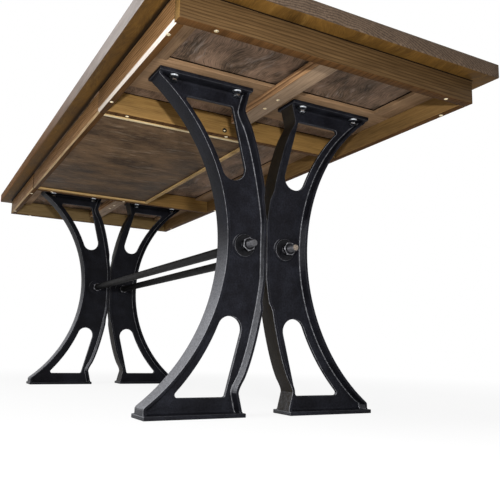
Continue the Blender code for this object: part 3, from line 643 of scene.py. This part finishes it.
def skin_loops(loops, ring=False, finish=lambda row, column: 0):
    """Closed loops joined one to the next, with a face on each open end and a finish for each face."""
    bm = bmesh.new()
    loops = [[bm.verts.new(p) for p in loop] for loop in loops]
    pairs = list(zip(loops, loops[1:] + loops[:1])) if ring else list(zip(loops, loops[1:]))
    for row, (first, second) in enumerate(pairs):
        for i in range(len(first)):
            face = bm.faces.new((first[i - 1], first[i], second[i], second[i - 1]))
            face.material_index = finish(row, i)
    if not ring:
        bm.faces.new(loops[0])
        bm.faces.new(loops[-1])
    return bm


def round_corner(before, corner, after, radius, steps):
    """Points of the arc that rounds off a corner of an outline."""
    before, corner, after = Vector(before), Vector(corner), Vector(after)
    first = (before - corner).normalized()
    second = (after - corner).normalized()
    half = first.angle(second) / 2
    centre = corner + (first + second).normalized() * radius / math.sin(half)
    start = corner + first * radius / math.tan(half) - centre
    turn = -start.angle_signed(corner + second * radius / math.tan(half) - centre)
    return [centre + Matrix.Rotation(turn * i / steps, 2) @ start for i in range(steps + 1)]


def window_crown(steps=24):
    """The round crown: an arc that runs on from the curved outer side into the straight inner side."""
    foot = Vector((WINDOW_SILL_INNER, WINDOW_SILL))
    along = (Vector((WINDOW_CROWN_INNER, WINDOW_CROWN_HEIGHT)) - foot).normalized()
    across = Vector((along.y, -along.x))
    centre, radius = outer_arc()
    reach = radius + WINDOW_BORDER + WINDOW_CROWN_RADIUS
    start = foot + across * WINDOW_CROWN_RADIUS - centre
    half = start.dot(along)
    middle = centre + start - along * (half + math.sqrt(half ** 2 - start.length_squared + reach ** 2))
    first = math.atan2(centre.y - middle.y, centre.x - middle.x)
    last = math.atan2(-across.y, -across.x) + math.tau
    angles = [first + (last - first) * i / steps for i in range(steps + 1)]
    return [middle + WINDOW_CROWN_RADIUS * Vector((math.cos(a), math.sin(a))) for a in angles]


def window_outline():
    """The lower window: a sill with round corners, two sides and a round crown."""
    sill_inner = (WINDOW_SILL_INNER, WINDOW_SILL)
    sill_outer = (outer_reach(WINDOW_SILL, WINDOW_BORDER), WINDOW_SILL)
    crown = window_crown()
    levels = [WINDOW_SILL + (crown[0].y - WINDOW_SILL) * i / 16 for i in range(1, 16)]
    outer = [Vector((outer_reach(z, WINDOW_BORDER), z)) for z in levels]
    first = round_corner(crown[-1], sill_inner, sill_outer, WINDOW_CORNER, 8)
    second = round_corner(sill_inner, sill_outer, outer[0], WINDOW_CORNER, 8)
    return first + second + [p for p in outer if p.y > second[-1].y + WINDOW_STEP] + crown


def window_plug(flip):
    """What the core leaves free: narrow at mid web, opening in a round edge at both faces."""
    outline = window_outline()
    if flip:
        outline = [Vector((p.x, LEG_HEIGHT - p.y)) for p in reversed(outline)]
    sides = []
    for i, point in enumerate(outline):
        run = outline[(i + 1) % len(outline)] - outline[i - 1]
        sides.append((point, Vector((run.y, -run.x)).normalized()))
    steps = [math.radians(a) for a in PLUG_ANGLES]
    flare = [(WEB_HALF - WINDOW_ROUND * (1 - math.sin(a)), WINDOW_ROUND * (1 - math.cos(a))) for a in steps]
    flare.append((flare[-1][0] + PLUG_OUT[0], flare[-1][1] + PLUG_OUT[1]))
    stations = [(-x, grow) for x, grow in reversed(flare)] + flare
    loops = [[(x, p.x + grow * n.x, p.y + grow * n.y) for p, n in sides] for x, grow in stations]
    # The window's edge rows carry the painted highlight.
    return skin_loops(loops, finish=lambda row, column: HIGHLIGHT_EDGE if row in PLUG_LIPS else 0)


def boss():
    """The raised ring that the washer and the inner nut bear on, with a fillet to the web."""
    half = [(WEB_HALF - BOSS_SINK, BOSS_RADIUS + BOSS_SKIRT)]
    half += [(BOSS_FACE - BOSS_ROUND - BOSS_FILLET * math.sin(a),
              BOSS_RADIUS + BOSS_FILLET * (1 - math.cos(a))) for a in quarter_arc()[::-1]]
    half += [(BOSS_FACE - BOSS_ROUND * (1 - math.sin(a)), BOSS_RADIUS - BOSS_ROUND * (1 - math.cos(a)))
             for a in quarter_arc()]
    half.append((BOSS_FACE, ROD_HOLE))
    angles = [math.tau * i / BOSS_SIDES for i in range(BOSS_SIDES)]
    loops = [[(x, ROD_REACH + r * math.cos(a), ROD_HEIGHT + r * math.sin(a)) for a in angles]
             for x, r in half + [(-x, r) for x, r in reversed(half)]]
    return skin_loops(loops, ring=True)


def end_plate(bottom):
    low = Vector((-PLATE_DEPTH / 2, PLATE_INNER, bottom))
    high = Vector((PLATE_DEPTH / 2, PLATE_OUTER, bottom + PLATE_THICKNESS))
    bm = bmesh.new()
    bmesh.ops.create_cube(bm, size=1.0)
    bmesh.ops.scale(bm, vec=high - low, verts=bm.verts)
    bmesh.ops.translate(bm, vec=(low + high) / 2, verts=bm.verts)
    bmesh.ops.bevel(bm, geom=bm.edges[:], offset=PLATE_ROUND, segments=3, profile=0.5, affect="EDGES")
    bm.normal_update()
    for face in bm.faces:
        # The plate's rounded edges carry the faint painted highlight.
        face.material_index = FAINT_HIGHLIGHT_EDGE if max(abs(c) for c in face.normal) < PLATE_FLAT else 0
    return bm


def round_cut(place, axis, radius, length, sides=24):
    """A drill, for taking a round hole out of a solid."""
    turn = Matrix.Rotation(math.pi / 2, 4, "Y") if axis == "X" else Matrix.Identity(4)
    bm = bmesh.new()
    bmesh.ops.create_cone(bm, cap_ends=True, segments=sides, radius1=radius, radius2=radius, depth=length,
                          matrix=Matrix.Translation(place) @ turn)
    return bm


def solid(name, bm):
    bmesh.ops.recalc_face_normals(bm, faces=bm.faces)
    mesh = write_mesh(bm, bpy.data.meshes.new(name))
    for finish in CASTING_FINISHES:
        mesh.materials.append(finish)
    return put(name, mesh)


def settle(body):
    """The body's mesh with its modifiers applied and its seams welded; the working object goes."""
    bpy.context.view_layer.update()
    mesh = bpy.data.meshes.new_from_object(body.evaluated_get(bpy.context.evaluated_depsgraph_get()))
    bpy.data.objects.remove(body)
    bm = read_mesh(mesh)
    bmesh.ops.remove_doubles(bm, verts=bm.verts, dist=WELD)
    bmesh.ops.dissolve_degenerate(bm, edges=bm.edges, dist=WELD)
    return write_mesh(bm, mesh)


def cast_and_cut(name, base, *steps):
    """A solid with others added to it and taken from it."""
    body = solid(name, base)
    tools = []
    for operation, bm in steps:
        tool = solid(f"{name}_tool", bm)
        modifier = body.modifiers.new(operation, "BOOLEAN")
        modifier.operation = operation
        modifier.solver = "EXACT"
        modifier.object = tool
        tools.append(tool)
    mesh = settle(body)
    for tool in tools:
        bpy.data.objects.remove(tool)
    return mesh


waist = Vector((HALF_GAP, FORK_HEIGHT))
drop = Vector((0.0, -1.0))
fork = interpolate_bezier(waist, waist + drop * FORK_BEND, KNEE + KNEE_FLARE, KNEE, 40)
shank = interpolate_bezier(KNEE, KNEE + drop * KNEE_BEND, (KNEE + HEEL) / 2, HEEL, 24)
knee_start, knee_end = fork[-KNEE_ROUND], shank[KNEE_ROUND]
knee = interpolate_bezier(knee_start, (knee_start + 2 * KNEE) / 3, (knee_end + 2 * KNEE) / 3, knee_end, 12)
INNER_CURVE = [Vector((HALF_GAP, LEG_HEIGHT / 2))] + fork[:-KNEE_ROUND] + knee + shank[KNEE_ROUND + 1:]

leg_end = PLATE_THICKNESS / 2
leg_levels = [leg_end + (LEG_HEIGHT - 2 * leg_end) * (1 - math.cos(math.pi * i / LEG_LEVELS)) / 2
              for i in range(LEG_LEVELS + 1)]
section_size = len(leg_section(LEG_HEIGHT / 2))
# The lip's round and the root fillet carry the painted highlight lines.
highlight_columns = {2, 3, 12, 13, 14}
column_finish = {section_size // 2: SOILED}
for start, step in ((0, 1), (section_size // 2, -1), (section_size // 2, 1), (section_size, -1)):
    column_finish.update({(start + step * i) % section_size: HIGHLIGHT_EDGE for i in highlight_columns})
casting = skin_loops([leg_section(z) for z in leg_levels],
                     finish=lambda row, column: column_finish.get(column, 0))
leg_steps = [("DIFFERENCE", window_plug(False)), ("DIFFERENCE", window_plug(True)), ("UNION", boss()),
             ("UNION", end_plate(0.0)), ("UNION", end_plate(LEG_HEIGHT - PLATE_THICKNESS)),
             ("DIFFERENCE", round_cut((0.0, ROD_REACH, ROD_HEIGHT), "X", ROD_HOLE, ROD_DRILL))]
for x in (-BOLT_OFFSET, BOLT_OFFSET):
    for y in BOLT_REACHES:
        leg_steps.append(("DIFFERENCE", round_cut((x, y, LEG_HEIGHT - leg_end), "Z", BOLT_HOLE,
                                                  BOLT_DRILL)))
half_leg = cast_and_cut("half_leg", casting, *leg_steps)
# Grey on faces that lean up and outward, fading above a level: dust, and a painted sheen of light from
# above.
dust = half_leg.attributes.new("dust", "FLOAT", "FACE")
for face, film in zip(half_leg.polygons, dust.data):
    upward = part_way(face.normal.z, *DUST_AND_SHEEN_LEAN) * part_way(abs(face.normal.y), *DUST_AND_SHEEN_SIDE)
    film.value = upward * part_way(face.center.z, DUST_AND_SHEEN_LEVEL, DUST_AND_SHEEN_LEVEL - DUST_AND_SHEEN_FADE)

for end, end_sign in (("right", 1), ("left", -1)):
    for side, turn in (("back", 0.0), ("front", math.pi)):
        mesh = half_leg.copy()
        mesh.transform(Matrix.Translation((end_sign * LEG_X, 0.0, 0.0)) @ Matrix.Rotation(turn, 4, "Z"))
        # Each copy keeps the strong painted highlight where it faces the front; elsewhere the faint one.
        for face in mesh.polygons:
            wear_and_highlight = face.normal.y <= HIGHLIGHT_FACING
            if abs(face.center.y) < inner_reach(face.center.z) + RIM_LIP / 2:
                wear_and_highlight = side == "front" or face.center.z < HIGHLIGHT_BELOW
            if face.material_index == HIGHLIGHT_EDGE and not wear_and_highlight:
                face.material_index = FAINT_HIGHLIGHT_EDGE
        fit_piece(f"casting_{side}_{end}", mesh, "desk_frame", "black_cast_iron", [f"leg_{side}_{end}"])


# Flange bolts
# Sixteen zinc-plated hexagon bolts with a pressed flange, driven up through the leg's top plate and the
# mounting board into the slab, four to a casting.

BOLT_SIZES = {"Flange radius": 0.011, "Flange height": 0.0025, "Across flats": 0.014, "Head height": 0.0095,
              "Shank radius": 0.004}
FLANGE_TAPER = 0.86
SHANK_LENGTH = 0.032
SHANK_MIDDLE = -0.0158
CHAMFER_FOOT, CHAMFER_TOP, CHAMFER_HEIGHT = 0.92, 0.47, 0.26


def start_tree(name, sizes):
    """A Geometry Nodes tree with the sizes of one fastener as its named inputs, and a way to add nodes."""
    tree = bpy.data.node_groups.new(name, "GeometryNodeTree")
    tree.interface.new_socket("Places", in_out="INPUT", socket_type="NodeSocketGeometry")
    for label in sizes:
        tree.interface.new_socket(label, in_out="INPUT", socket_type="NodeSocketFloat")
    tree.interface.new_socket("Seed", in_out="INPUT", socket_type="NodeSocketInt")
    tree.interface.new_socket("Material", in_out="INPUT", socket_type="NodeSocketMaterial")
    tree.interface.new_socket("Fasteners", in_out="OUTPUT", socket_type="NodeSocketGeometry")
    add = partial(add_node, tree)
    return tree, add, add("GroupInput")


def set_on_places(add, given, part):
    """A copy of the part on every place, aimed along its stored direction and turned at random."""
    aim = add("InputNamedAttribute", {"Name": "aim"}, data_type="FLOAT_VECTOR")[0]
    aimed = add("AlignRotationToVector", {"Vector": aim}, axis="Z")[0]
    turn = add("RandomValue", {2: 0.0, 3: math.tau, "Seed": given["Seed"]})[1]
    turn = add("AxisAngleToRotation", {"Axis": (0, 0, 1), "Angle": turn})[0]
    aimed = add("RotateRotation", aimed, turn, rotation_space="LOCAL")[0]
    copies = add("InstanceOnPoints", {"Points": given["Places"], "Instance": part, "Rotation": aimed})[0]
    copies = add("RealizeInstances", copies)[0]
    copies = add("SetMaterial", {0: copies, "Material": given["Material"]})[0]
    add("GroupOutput", copies)


def fasten(name, tree, places, sizes, seed, material):
    """The plain mesh of all fasteners of a kind, from their places and directions."""
    mesh = bpy.data.meshes.new(f"{name}_places")
    mesh.from_pydata([p for p, aim in places], [], [])
    aims = mesh.attributes.new("aim", "FLOAT_VECTOR", "POINT")
    for i, (p, aim) in enumerate(places):
        aims.data[i].vector = aim
    body = put(name, mesh)
    modifier = body.modifiers.new("Fasteners", "NODES")
    modifier.node_group = tree
    values = dict(sizes, Seed=seed, Material=material)
    for socket in tree.interface.items_tree:
        if socket.name in values:
            modifier[socket.identifier] = values[socket.name]
    result = settle(body)
    result.name = name
    return result


def raised(add, part, height):
    """A part of a fastener, moved up along its axis."""
    lift = add("CombineXYZ", {2: height})[0]
    return add("Transform", {0: part, "Translation": lift})[0]


def hexagon(add, across, height):
    """A hexagon standing on the ground, its upper corners turned off at a slant."""
    radius = add("Math", across, math.sqrt(3), operation="DIVIDE")[0]
    bar = add("MeshCylinder", {"Vertices": 6, "Radius": radius, "Depth": height})[0]
    wide = add("Math", across, CHAMFER_FOOT, operation="MULTIPLY")[0]
    narrow = add("Math", across, CHAMFER_TOP, operation="MULTIPLY")[0]
    tall = add("Math", across, CHAMFER_HEIGHT, operation="MULTIPLY")[0]
    cone = add("MeshCone", {"Vertices": 48, "Radius Top": narrow, "Radius Bottom": wide,
                            "Depth": tall})[0]
    half = add("Math", height, 0.5, operation="MULTIPLY")[0]
    down = add("Math", half, tall, operation="SUBTRACT")[0]
    cut = add("MeshBoolean", {1: [bar, raised(add, cone, down)]}, operation="INTERSECT",
              solver="EXACT")[0]
    return raised(add, cut, half)


bolt_tree, add, given = start_tree("flange_bolt", BOLT_SIZES)
narrow = add("Math", given["Flange radius"], FLANGE_TAPER, operation="MULTIPLY")[0]
flange = add("MeshCone", {"Vertices": 40, "Radius Top": narrow, "Radius Bottom": given["Flange radius"],
                          "Depth": given["Flange height"]})[0]
head = hexagon(add, given["Across flats"], given["Head height"])
head = raised(add, head, given["Flange height"])
shaft = add("MeshCylinder", {"Vertices": 24, "Radius": given["Shank radius"], "Depth": SHANK_LENGTH})[0]
shaft = raised(add, shaft, SHANK_MIDDLE)
bolt = add("JoinGeometry", [flange, head, shaft])[0]
set_on_places(add, given, bolt)

# Bright zinc plating: bluish white metal, with a slightly cloudy bath finish.
zinc, add, shader, place = start_material("bright_zinc_plated_steel")
bath = add("TexNoise", {"Vector": place, "Scale": 1 / 0.004, "Detail": 4.0})["Fac"]
plate = add("ValToRGB", bath, stops=((0.3, "#a9adb3"), (0.7, "#d5d9dd")))[0]
cloudy = add("MapRange", bath, 0.3, 0.7, 0.22, 0.38)[0]
set_inputs(shader, {"Base Color": plate, "Roughness": cloudy, "Metallic": 1.0})

DOWN = Vector((0.0, 0.0, -1.0))
bolt_nodes = [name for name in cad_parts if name.startswith("leg_bolt_")]
bolt_places = []
for node in bolt_nodes:
    low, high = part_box(node)
    seat = low.z + BOLT_SIZES["Flange height"] + BOLT_SIZES["Head height"]
    middle = (low + high) / 2
    bolt_places.append((Vector((middle.x, middle.y, seat)), DOWN))
bolts = fasten("flange_bolts", bolt_tree, bolt_places, BOLT_SIZES, 7, zinc)
fit_piece("flange_bolts", bolts, "desk_frame", "zinc_plated_steel", bolt_nodes)


# Tie bars
# Two round bars drawn in black steel, turned down and threaded at both ends; they pass through the bosses
# of the castings and hold the two pairs of legs apart.

BAR_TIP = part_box("tie_bar_back")[1].x
BAR_RADIUS = 0.011
THREAD_RADIUS = 0.008
THREAD_PITCH = 0.002
THREAD_DEPTH = 0.0009
INNER_NUT_ROOM = 0.0206
BAR_SHOULDER = LEG_X - BOSS_FACE - INNER_NUT_ROOM
BAR_CHAMFER = 0.0015
BAR_SIDES = 32
BAR_RING = 0.3
SHOULDER_EDGE = 0.0002
THREADED, SAWN_END = range(1, 3)


def thread_radius(x, angle):
    """Radius of the thread's crest and root along a helix, with the first turn chamfered."""
    wave = abs(((x / THREAD_PITCH - angle / math.tau) % 1.0) - 0.5) * 2
    chamfer = THREAD_RADIUS - max(x - (BAR_TIP - BAR_CHAMFER), 0.0)
    return min(THREAD_RADIUS - THREAD_DEPTH * (1 - wave), chamfer)


half_rows = [(0.0, BAR_RADIUS), (BAR_RING, BAR_RADIUS), (BAR_SHOULDER - BAR_CHAMFER, BAR_RADIUS),
             (BAR_SHOULDER, BAR_RADIUS - BAR_CHAMFER), (BAR_SHOULDER, THREAD_RADIUS - THREAD_DEPTH)]
thread_rows = round((BAR_TIP - BAR_SHOULDER) / (THREAD_PITCH / 4))
half_rows += [(BAR_SHOULDER + (BAR_TIP - BAR_SHOULDER) * i / thread_rows, None)
              for i in range(1, thread_rows + 1)]
bar_rows = [(-x, r) for x, r in reversed(half_rows[1:])] + half_rows
bar_loops = []
for x, r in bar_rows:
    angles = [math.tau * i / BAR_SIDES for i in range(BAR_SIDES)]
    radii = [thread_radius(abs(x), math.copysign(a, x)) if r is None else r for a in angles]
    bar_loops.append([(x, q * math.cos(a), q * math.sin(a)) for a, q in zip(angles, radii)])


def bar_steel(name, fresh, stained, scale, rough, metallic, gloss_level=0.5):
    """Steel with a patchy film: stain and stock colour meet in clouds of a known size."""
    material, add, shader, place = start_material(name)
    drawn = add("Mapping", {"Vector": place, "Scale": (0.25, 1.0, 1.0)})[0]
    film = add("TexNoise", {"Vector": drawn, "Scale": 1 / scale, "Detail": 6.0})["Fac"]
    colour = add("ValToRGB", film, stops=((0.35, fresh), (0.7, stained)))[0]
    gloss = add("MapRange", film, 0.3, 0.75, rough - 0.06, rough + 0.14)[0]
    skin = add("Bump", {"Height": film, "Distance": 0.0003, "Strength": 0.25})[0]
    set_inputs(shader, {"Base Color": colour, "Roughness": gloss, "Normal": skin, "Metallic": metallic,
                        "Specular IOR Level": gloss_level})
    return material


black_bar = bar_steel("black_drawn_bar_steel", "#101012", "#1b1a19", 0.008, 0.5, 0.0, 0.06)
cut_thread = bar_steel("cut_thread_steel", "#5e5e62", "#3f3f42", 0.004, 0.45, 0.8)
cut_faces = {"front": bar_steel("sawn_bar_end", "#5a5a5d", "#3a393b", 0.003, 0.45, 0.7),
             "back": bar_steel("sawn_bar_end_with_rust", "#8a7d70", "#50453c", 0.003, 0.5, 0.4)}
for side, sign in (("front", -1), ("back", 1)):
    bar = skin_loops(bar_loops)
    for face in bar.faces:
        reach = abs(face.calc_center_median().x)
        threaded = THREADED if reach > BAR_SHOULDER + SHOULDER_EDGE else 0
        face.material_index = SAWN_END if reach > BAR_TIP - WELD else threaded
    bmesh.ops.translate(bar, vec=(0.0, sign * ROD_REACH, ROD_HEIGHT), verts=bar.verts)
    bmesh.ops.recalc_face_normals(bar, faces=bar.faces)
    mesh = write_mesh(bar, bpy.data.meshes.new(f"bar_{side}"))
    fit_piece(f"bar_{side}", mesh, "desk_frame", "black_bar_steel", [f"tie_bar_{side}"], black_bar,
              cut_thread, cut_faces[side])


# Nuts and washers of the tie bars
# Blackened hexagon nuts, one on each side of every casting, and a thick washer under the outer one.

NUT_SIZES = {"Across flats": 0.027, "Height": 0.020, "Bore radius": 0.00825}
WASHER_SIZES = {"Mean radius": 0.0164, "Ring width": 0.0162, "Thickness": 0.003, "Round": 0.0008}
EDGE_HIGHLIGHT_LIMITS = (0.2, 0.95)

nut_tree, add, given = start_tree("bar_nut", NUT_SIZES)
blank = hexagon(add, given["Across flats"], given["Height"])
drill = add("MeshCylinder", {"Vertices": 40, "Radius": given["Bore radius"], "Depth": ROD_DRILL})[0]
nut = add("MeshBoolean", blank, drill, operation="DIFFERENCE", solver="EXACT")[0]
set_on_places(add, given, nut)

washer_tree, add, given = start_tree("bar_washer", WASHER_SIZES)
path = add("CurvePrimitiveCircle", {"Resolution": 48, "Radius": given["Mean radius"]})[0]
strip = add("CurvePrimitiveQuadrilateral", {"Width": given["Ring width"], "Height": given["Thickness"]})[0]
strip = add("FilletCurve", {"Curve": strip, "Count": 3, "Radius": given["Round"]}, mode="POLY")[0]
ring = add("CurveToMesh", {"Curve": path, "Profile Curve": strip})[0]
half = add("Math", given["Thickness"], 0.5, operation="MULTIPLY")[0]
set_on_places(add, given, raised(add, ring, half))

black_oxide = bar_steel("black_oxide_steel", "#0a0a0c", "#141417", 0.006, 0.4, 0.0, 0.10)
# Grey on the nuts' chamfers and the washers' rounded edges: a painted highlight.
oxide_with_painted_highlight = bar_steel("black_oxide_with_painted_highlight", "#747478", "#343437", 0.003, 0.5, 0.2)
for kind, tree, sizes in (("bar_nut", nut_tree, NUT_SIZES), ("bar_washer", washer_tree, WASHER_SIZES)):
    nodes = [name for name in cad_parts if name.startswith(kind)]
    places = []
    for node in nodes:
        low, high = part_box(node)
        outward = math.copysign(1.0, low.x)
        inner = "inner" in node
        face = (max if inner else min)(abs(low.x), abs(high.x))
        middle = (low + high) / 2
        aim = Vector((-outward if inner else outward, 0.0, 0.0))
        places.append((Vector((outward * face, middle.y, middle.z)), aim))
    mesh = fasten(f"{kind}s", tree, places, sizes, 3, black_oxide)
    # Slanted faces take the grey painted highlight.
    edge_highlight = len(mesh.materials)
    for face in mesh.polygons:
        if EDGE_HIGHLIGHT_LIMITS[0] < abs(face.normal.x) < EDGE_HIGHLIGHT_LIMITS[1]:
            face.material_index = edge_highlight
    fit_piece(f"{kind}s", mesh, "desk_frame", "blackened_nut_steel", nodes, oxide_with_painted_highlight)


# Wood screws
# Yellow-plated screws with a low round head and a cross recess, driven up through the lower edges of the
# rails and through the bearers into the slab. One on each cross rail sits in a dark ring, painted shade for
# the shadow inside a counterbore.

SCREW_SIZES = {"Head radius": 0.0043, "Head height": 0.0012, "Recess length": 0.0046,
               "Recess width": 0.0012}
SUNK_SCREW_SIZES = dict(SCREW_SIZES, **{"Head radius": 0.0029, "Recess length": 0.0032})
# The dark ring round the sunk screw is painted shade, standing for the shadow inside a counterbore.
SHADE_RING_SIZES = {"Mean radius": 0.0041, "Ring width": 0.0032, "Thickness": 0.0010, "Round": 0.0004}
SCREW_ROOT, SCREW_TIP, SCREW_LENGTH, SCREW_MIDDLE = 0.002, 0.0008, 0.02, -0.0204
RAIL_SCREWS = ((0.486, -0.331), (0.830, -0.334), (0.420, -0.274), (0.420, -0.014), (0.884, 0.273),
               (0.884, -0.268), (0.812, 0.333), (0.360, 0.333))
BEARER_SCREWS = (0.590, 0.648)
SUNK_SCREW_PLACE = (-0.0237, 0.6836)

screw_tree, add, given = start_tree("wood_screw", SCREW_SIZES)
radius = given["Head radius"]
crown = add("Math", given["Head height"], radius, operation="DIVIDE")[0]
crown = add("CombineXYZ", 1.0, 1.0, crown)[0]
head = add("MeshUVSphere", {"Segments": 24, "Rings": 10, "Radius": radius})[0]
head = add("Transform", {0: head, "Scale": crown})[0]
slot = add("CombineXYZ", given["Recess length"], given["Recess width"], given["Head height"])[0]
slot = add("MeshCube", {"Size": slot})[0]
lift = add("CombineXYZ", {2: given["Head height"]})[0]
for quarter in (0.0, math.pi / 2):
    blade = add("Transform", {0: slot, "Translation": lift, "Rotation": (0.0, 0.0, quarter)})[0]
    head = add("MeshBoolean", head, blade, operation="DIFFERENCE", solver="EXACT")[0]
shaft = add("MeshCone", {"Vertices": 12, "Radius Top": SCREW_ROOT, "Radius Bottom": SCREW_TIP,
                         "Depth": SCREW_LENGTH})[0]
shaft = raised(add, shaft, SCREW_MIDDLE)
screw = add("JoinGeometry", [head, shaft])[0]
set_on_places(add, given, screw)

pale_plate = bar_steel("yellow_passivated_zinc", "#f1e6cc", "#d9c79c", 0.003, 0.3, 1.0)
rail_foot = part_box("front_rail_right")[0].z
bearer_low, bearer_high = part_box("centre_bearer_right")
bearer_middle = (bearer_low.y + bearer_high.y) / 2
cross_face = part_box("cross_rail_right")[1].x
screw_places, sunk_screw_places = [], []
for end_sign in (1, -1):
    spots = [(x, y, rail_foot) for x, y in RAIL_SCREWS]
    spots += [(x, bearer_middle, bearer_low.z) for x in BEARER_SCREWS]
    screw_places += [(Vector((end_sign * x, y, z)), DOWN) for x, y, z in spots]
    sunk_screw_places.append((Vector((end_sign * cross_face, *SUNK_SCREW_PLACE)), Vector((end_sign, 0.0, 0.0))))
# The dark rings are painted shade round the sunk screws.
for name, tree, places, sizes, metal, slot in (
        ("wood_screws", screw_tree, screw_places, SCREW_SIZES, pale_plate, "zinc_plated_steel"),
        ("sunk_screws", screw_tree, sunk_screw_places, SUNK_SCREW_SIZES, pale_plate, "zinc_plated_steel"),
        ("painted_shade_rings", washer_tree, sunk_screw_places, SHADE_RING_SIZES, black_oxide, "blackened_nut_steel")):
    fit_piece(name, fasten(name, tree, places, sizes, 5, metal), "desk_frame", slot, [])


# Floor, light and camera
# A pale studio floor under soft light; the camera stands low at the right front, where the
# photograph was taken.

FLOOR_HALF = 9


def shows_background(add):
    """One for the rays that show the background itself: from the camera, in a gloss or through glass."""
    seen = add("LightPath")
    plain = add("Math", seen["Is Camera Ray"], seen["Is Glossy Ray"], operation="MAXIMUM")[0]
    return add("Math", plain, seen["Is Transmission Ray"], operation="MAXIMUM")[0]


white, add, shader, place = start_material("white_studio_paper")
set_inputs(shader, {"Base Color": linear("#f4f4f4"), "Roughness": 0.9, "Specular IOR Level": 0.0})
away = add("VectorMath", place, operation="LENGTH")["Value"]
away = add("MapRange", away, 0.9, 2.4, 0.88, 1.0, interpolation_type="SMOOTHSTEP")[0]
away = add("Math", away, shows_background(add), operation="MULTIPLY")[0]
sweep = add("Emission", {"Strength": 1.0})[0]
paper = add("MixShader", away, shader.outputs[0], sweep)[0]
set_inputs(white.node_tree.nodes["Material Output"], {"Surface": paper})
floor_mesh = bpy.data.meshes.new("studio_floor")
corners = [(x * FLOOR_HALF, y * FLOOR_HALF, 0) for x, y in ((-1, -1), (1, -1), (1, 1), (-1, 1))]
floor_mesh.from_pydata(corners, [], [(0, 1, 2, 3)])
floor_mesh.materials.append(white)
floor = put("studio_floor", floor_mesh)

scene.world = bpy.data.worlds.new("white_studio")
scene.world.use_nodes = True
add = partial(add_node, scene.world.node_tree)
level = add("MapRange", {0: shows_background(add), 3: 0.26, 4: 1.0})[0]
set_inputs(scene.world.node_tree.nodes["Background"], {"Color": linear("#ffffff"), "Strength": level})


def soft_lamp(name, place, target, width, watts):
    lamp = bpy.data.lights.new(name, "AREA")
    lamp.size = width
    lamp.energy = watts
    holder = put(name, lamp)
    holder.location = place
    holder.rotation_euler = (Vector(target) - Vector(place)).to_track_quat("-Z", "Y").to_euler()


soft_lamp("flash_over_the_camera", (1.80, -0.616, 0.361), (0.1, 0.0, 0.55), 0.05, 19.0)
soft_lamp("window_on_the_sitter_side", (0.7, -2.0, 2.8), (0.6, -0.2, 0.3), 1.2, 60.0)
soft_lamp("overhead", (0.0, 0.0, 3.0), (0.0, 0.0, 0.0), 2.5, 30.0)

camera = bpy.data.cameras.new("photo_view")
camera.sensor_width = 36.0
camera.lens = 44.6
stand = put("photo_view", camera)
turn = Vector((1.2546, 0.7592, -0.859))
axes = Matrix.Rotation(turn.length, 3, turn.normalized())
view = Matrix((axes[0], -axes[1], -axes[2])).transposed().to_4x4()
view.translation = (1.7751, -0.6856, 0.1364)
stand.matrix_world = view
scene.camera = stand
scene.view_settings.view_transform = "Standard"
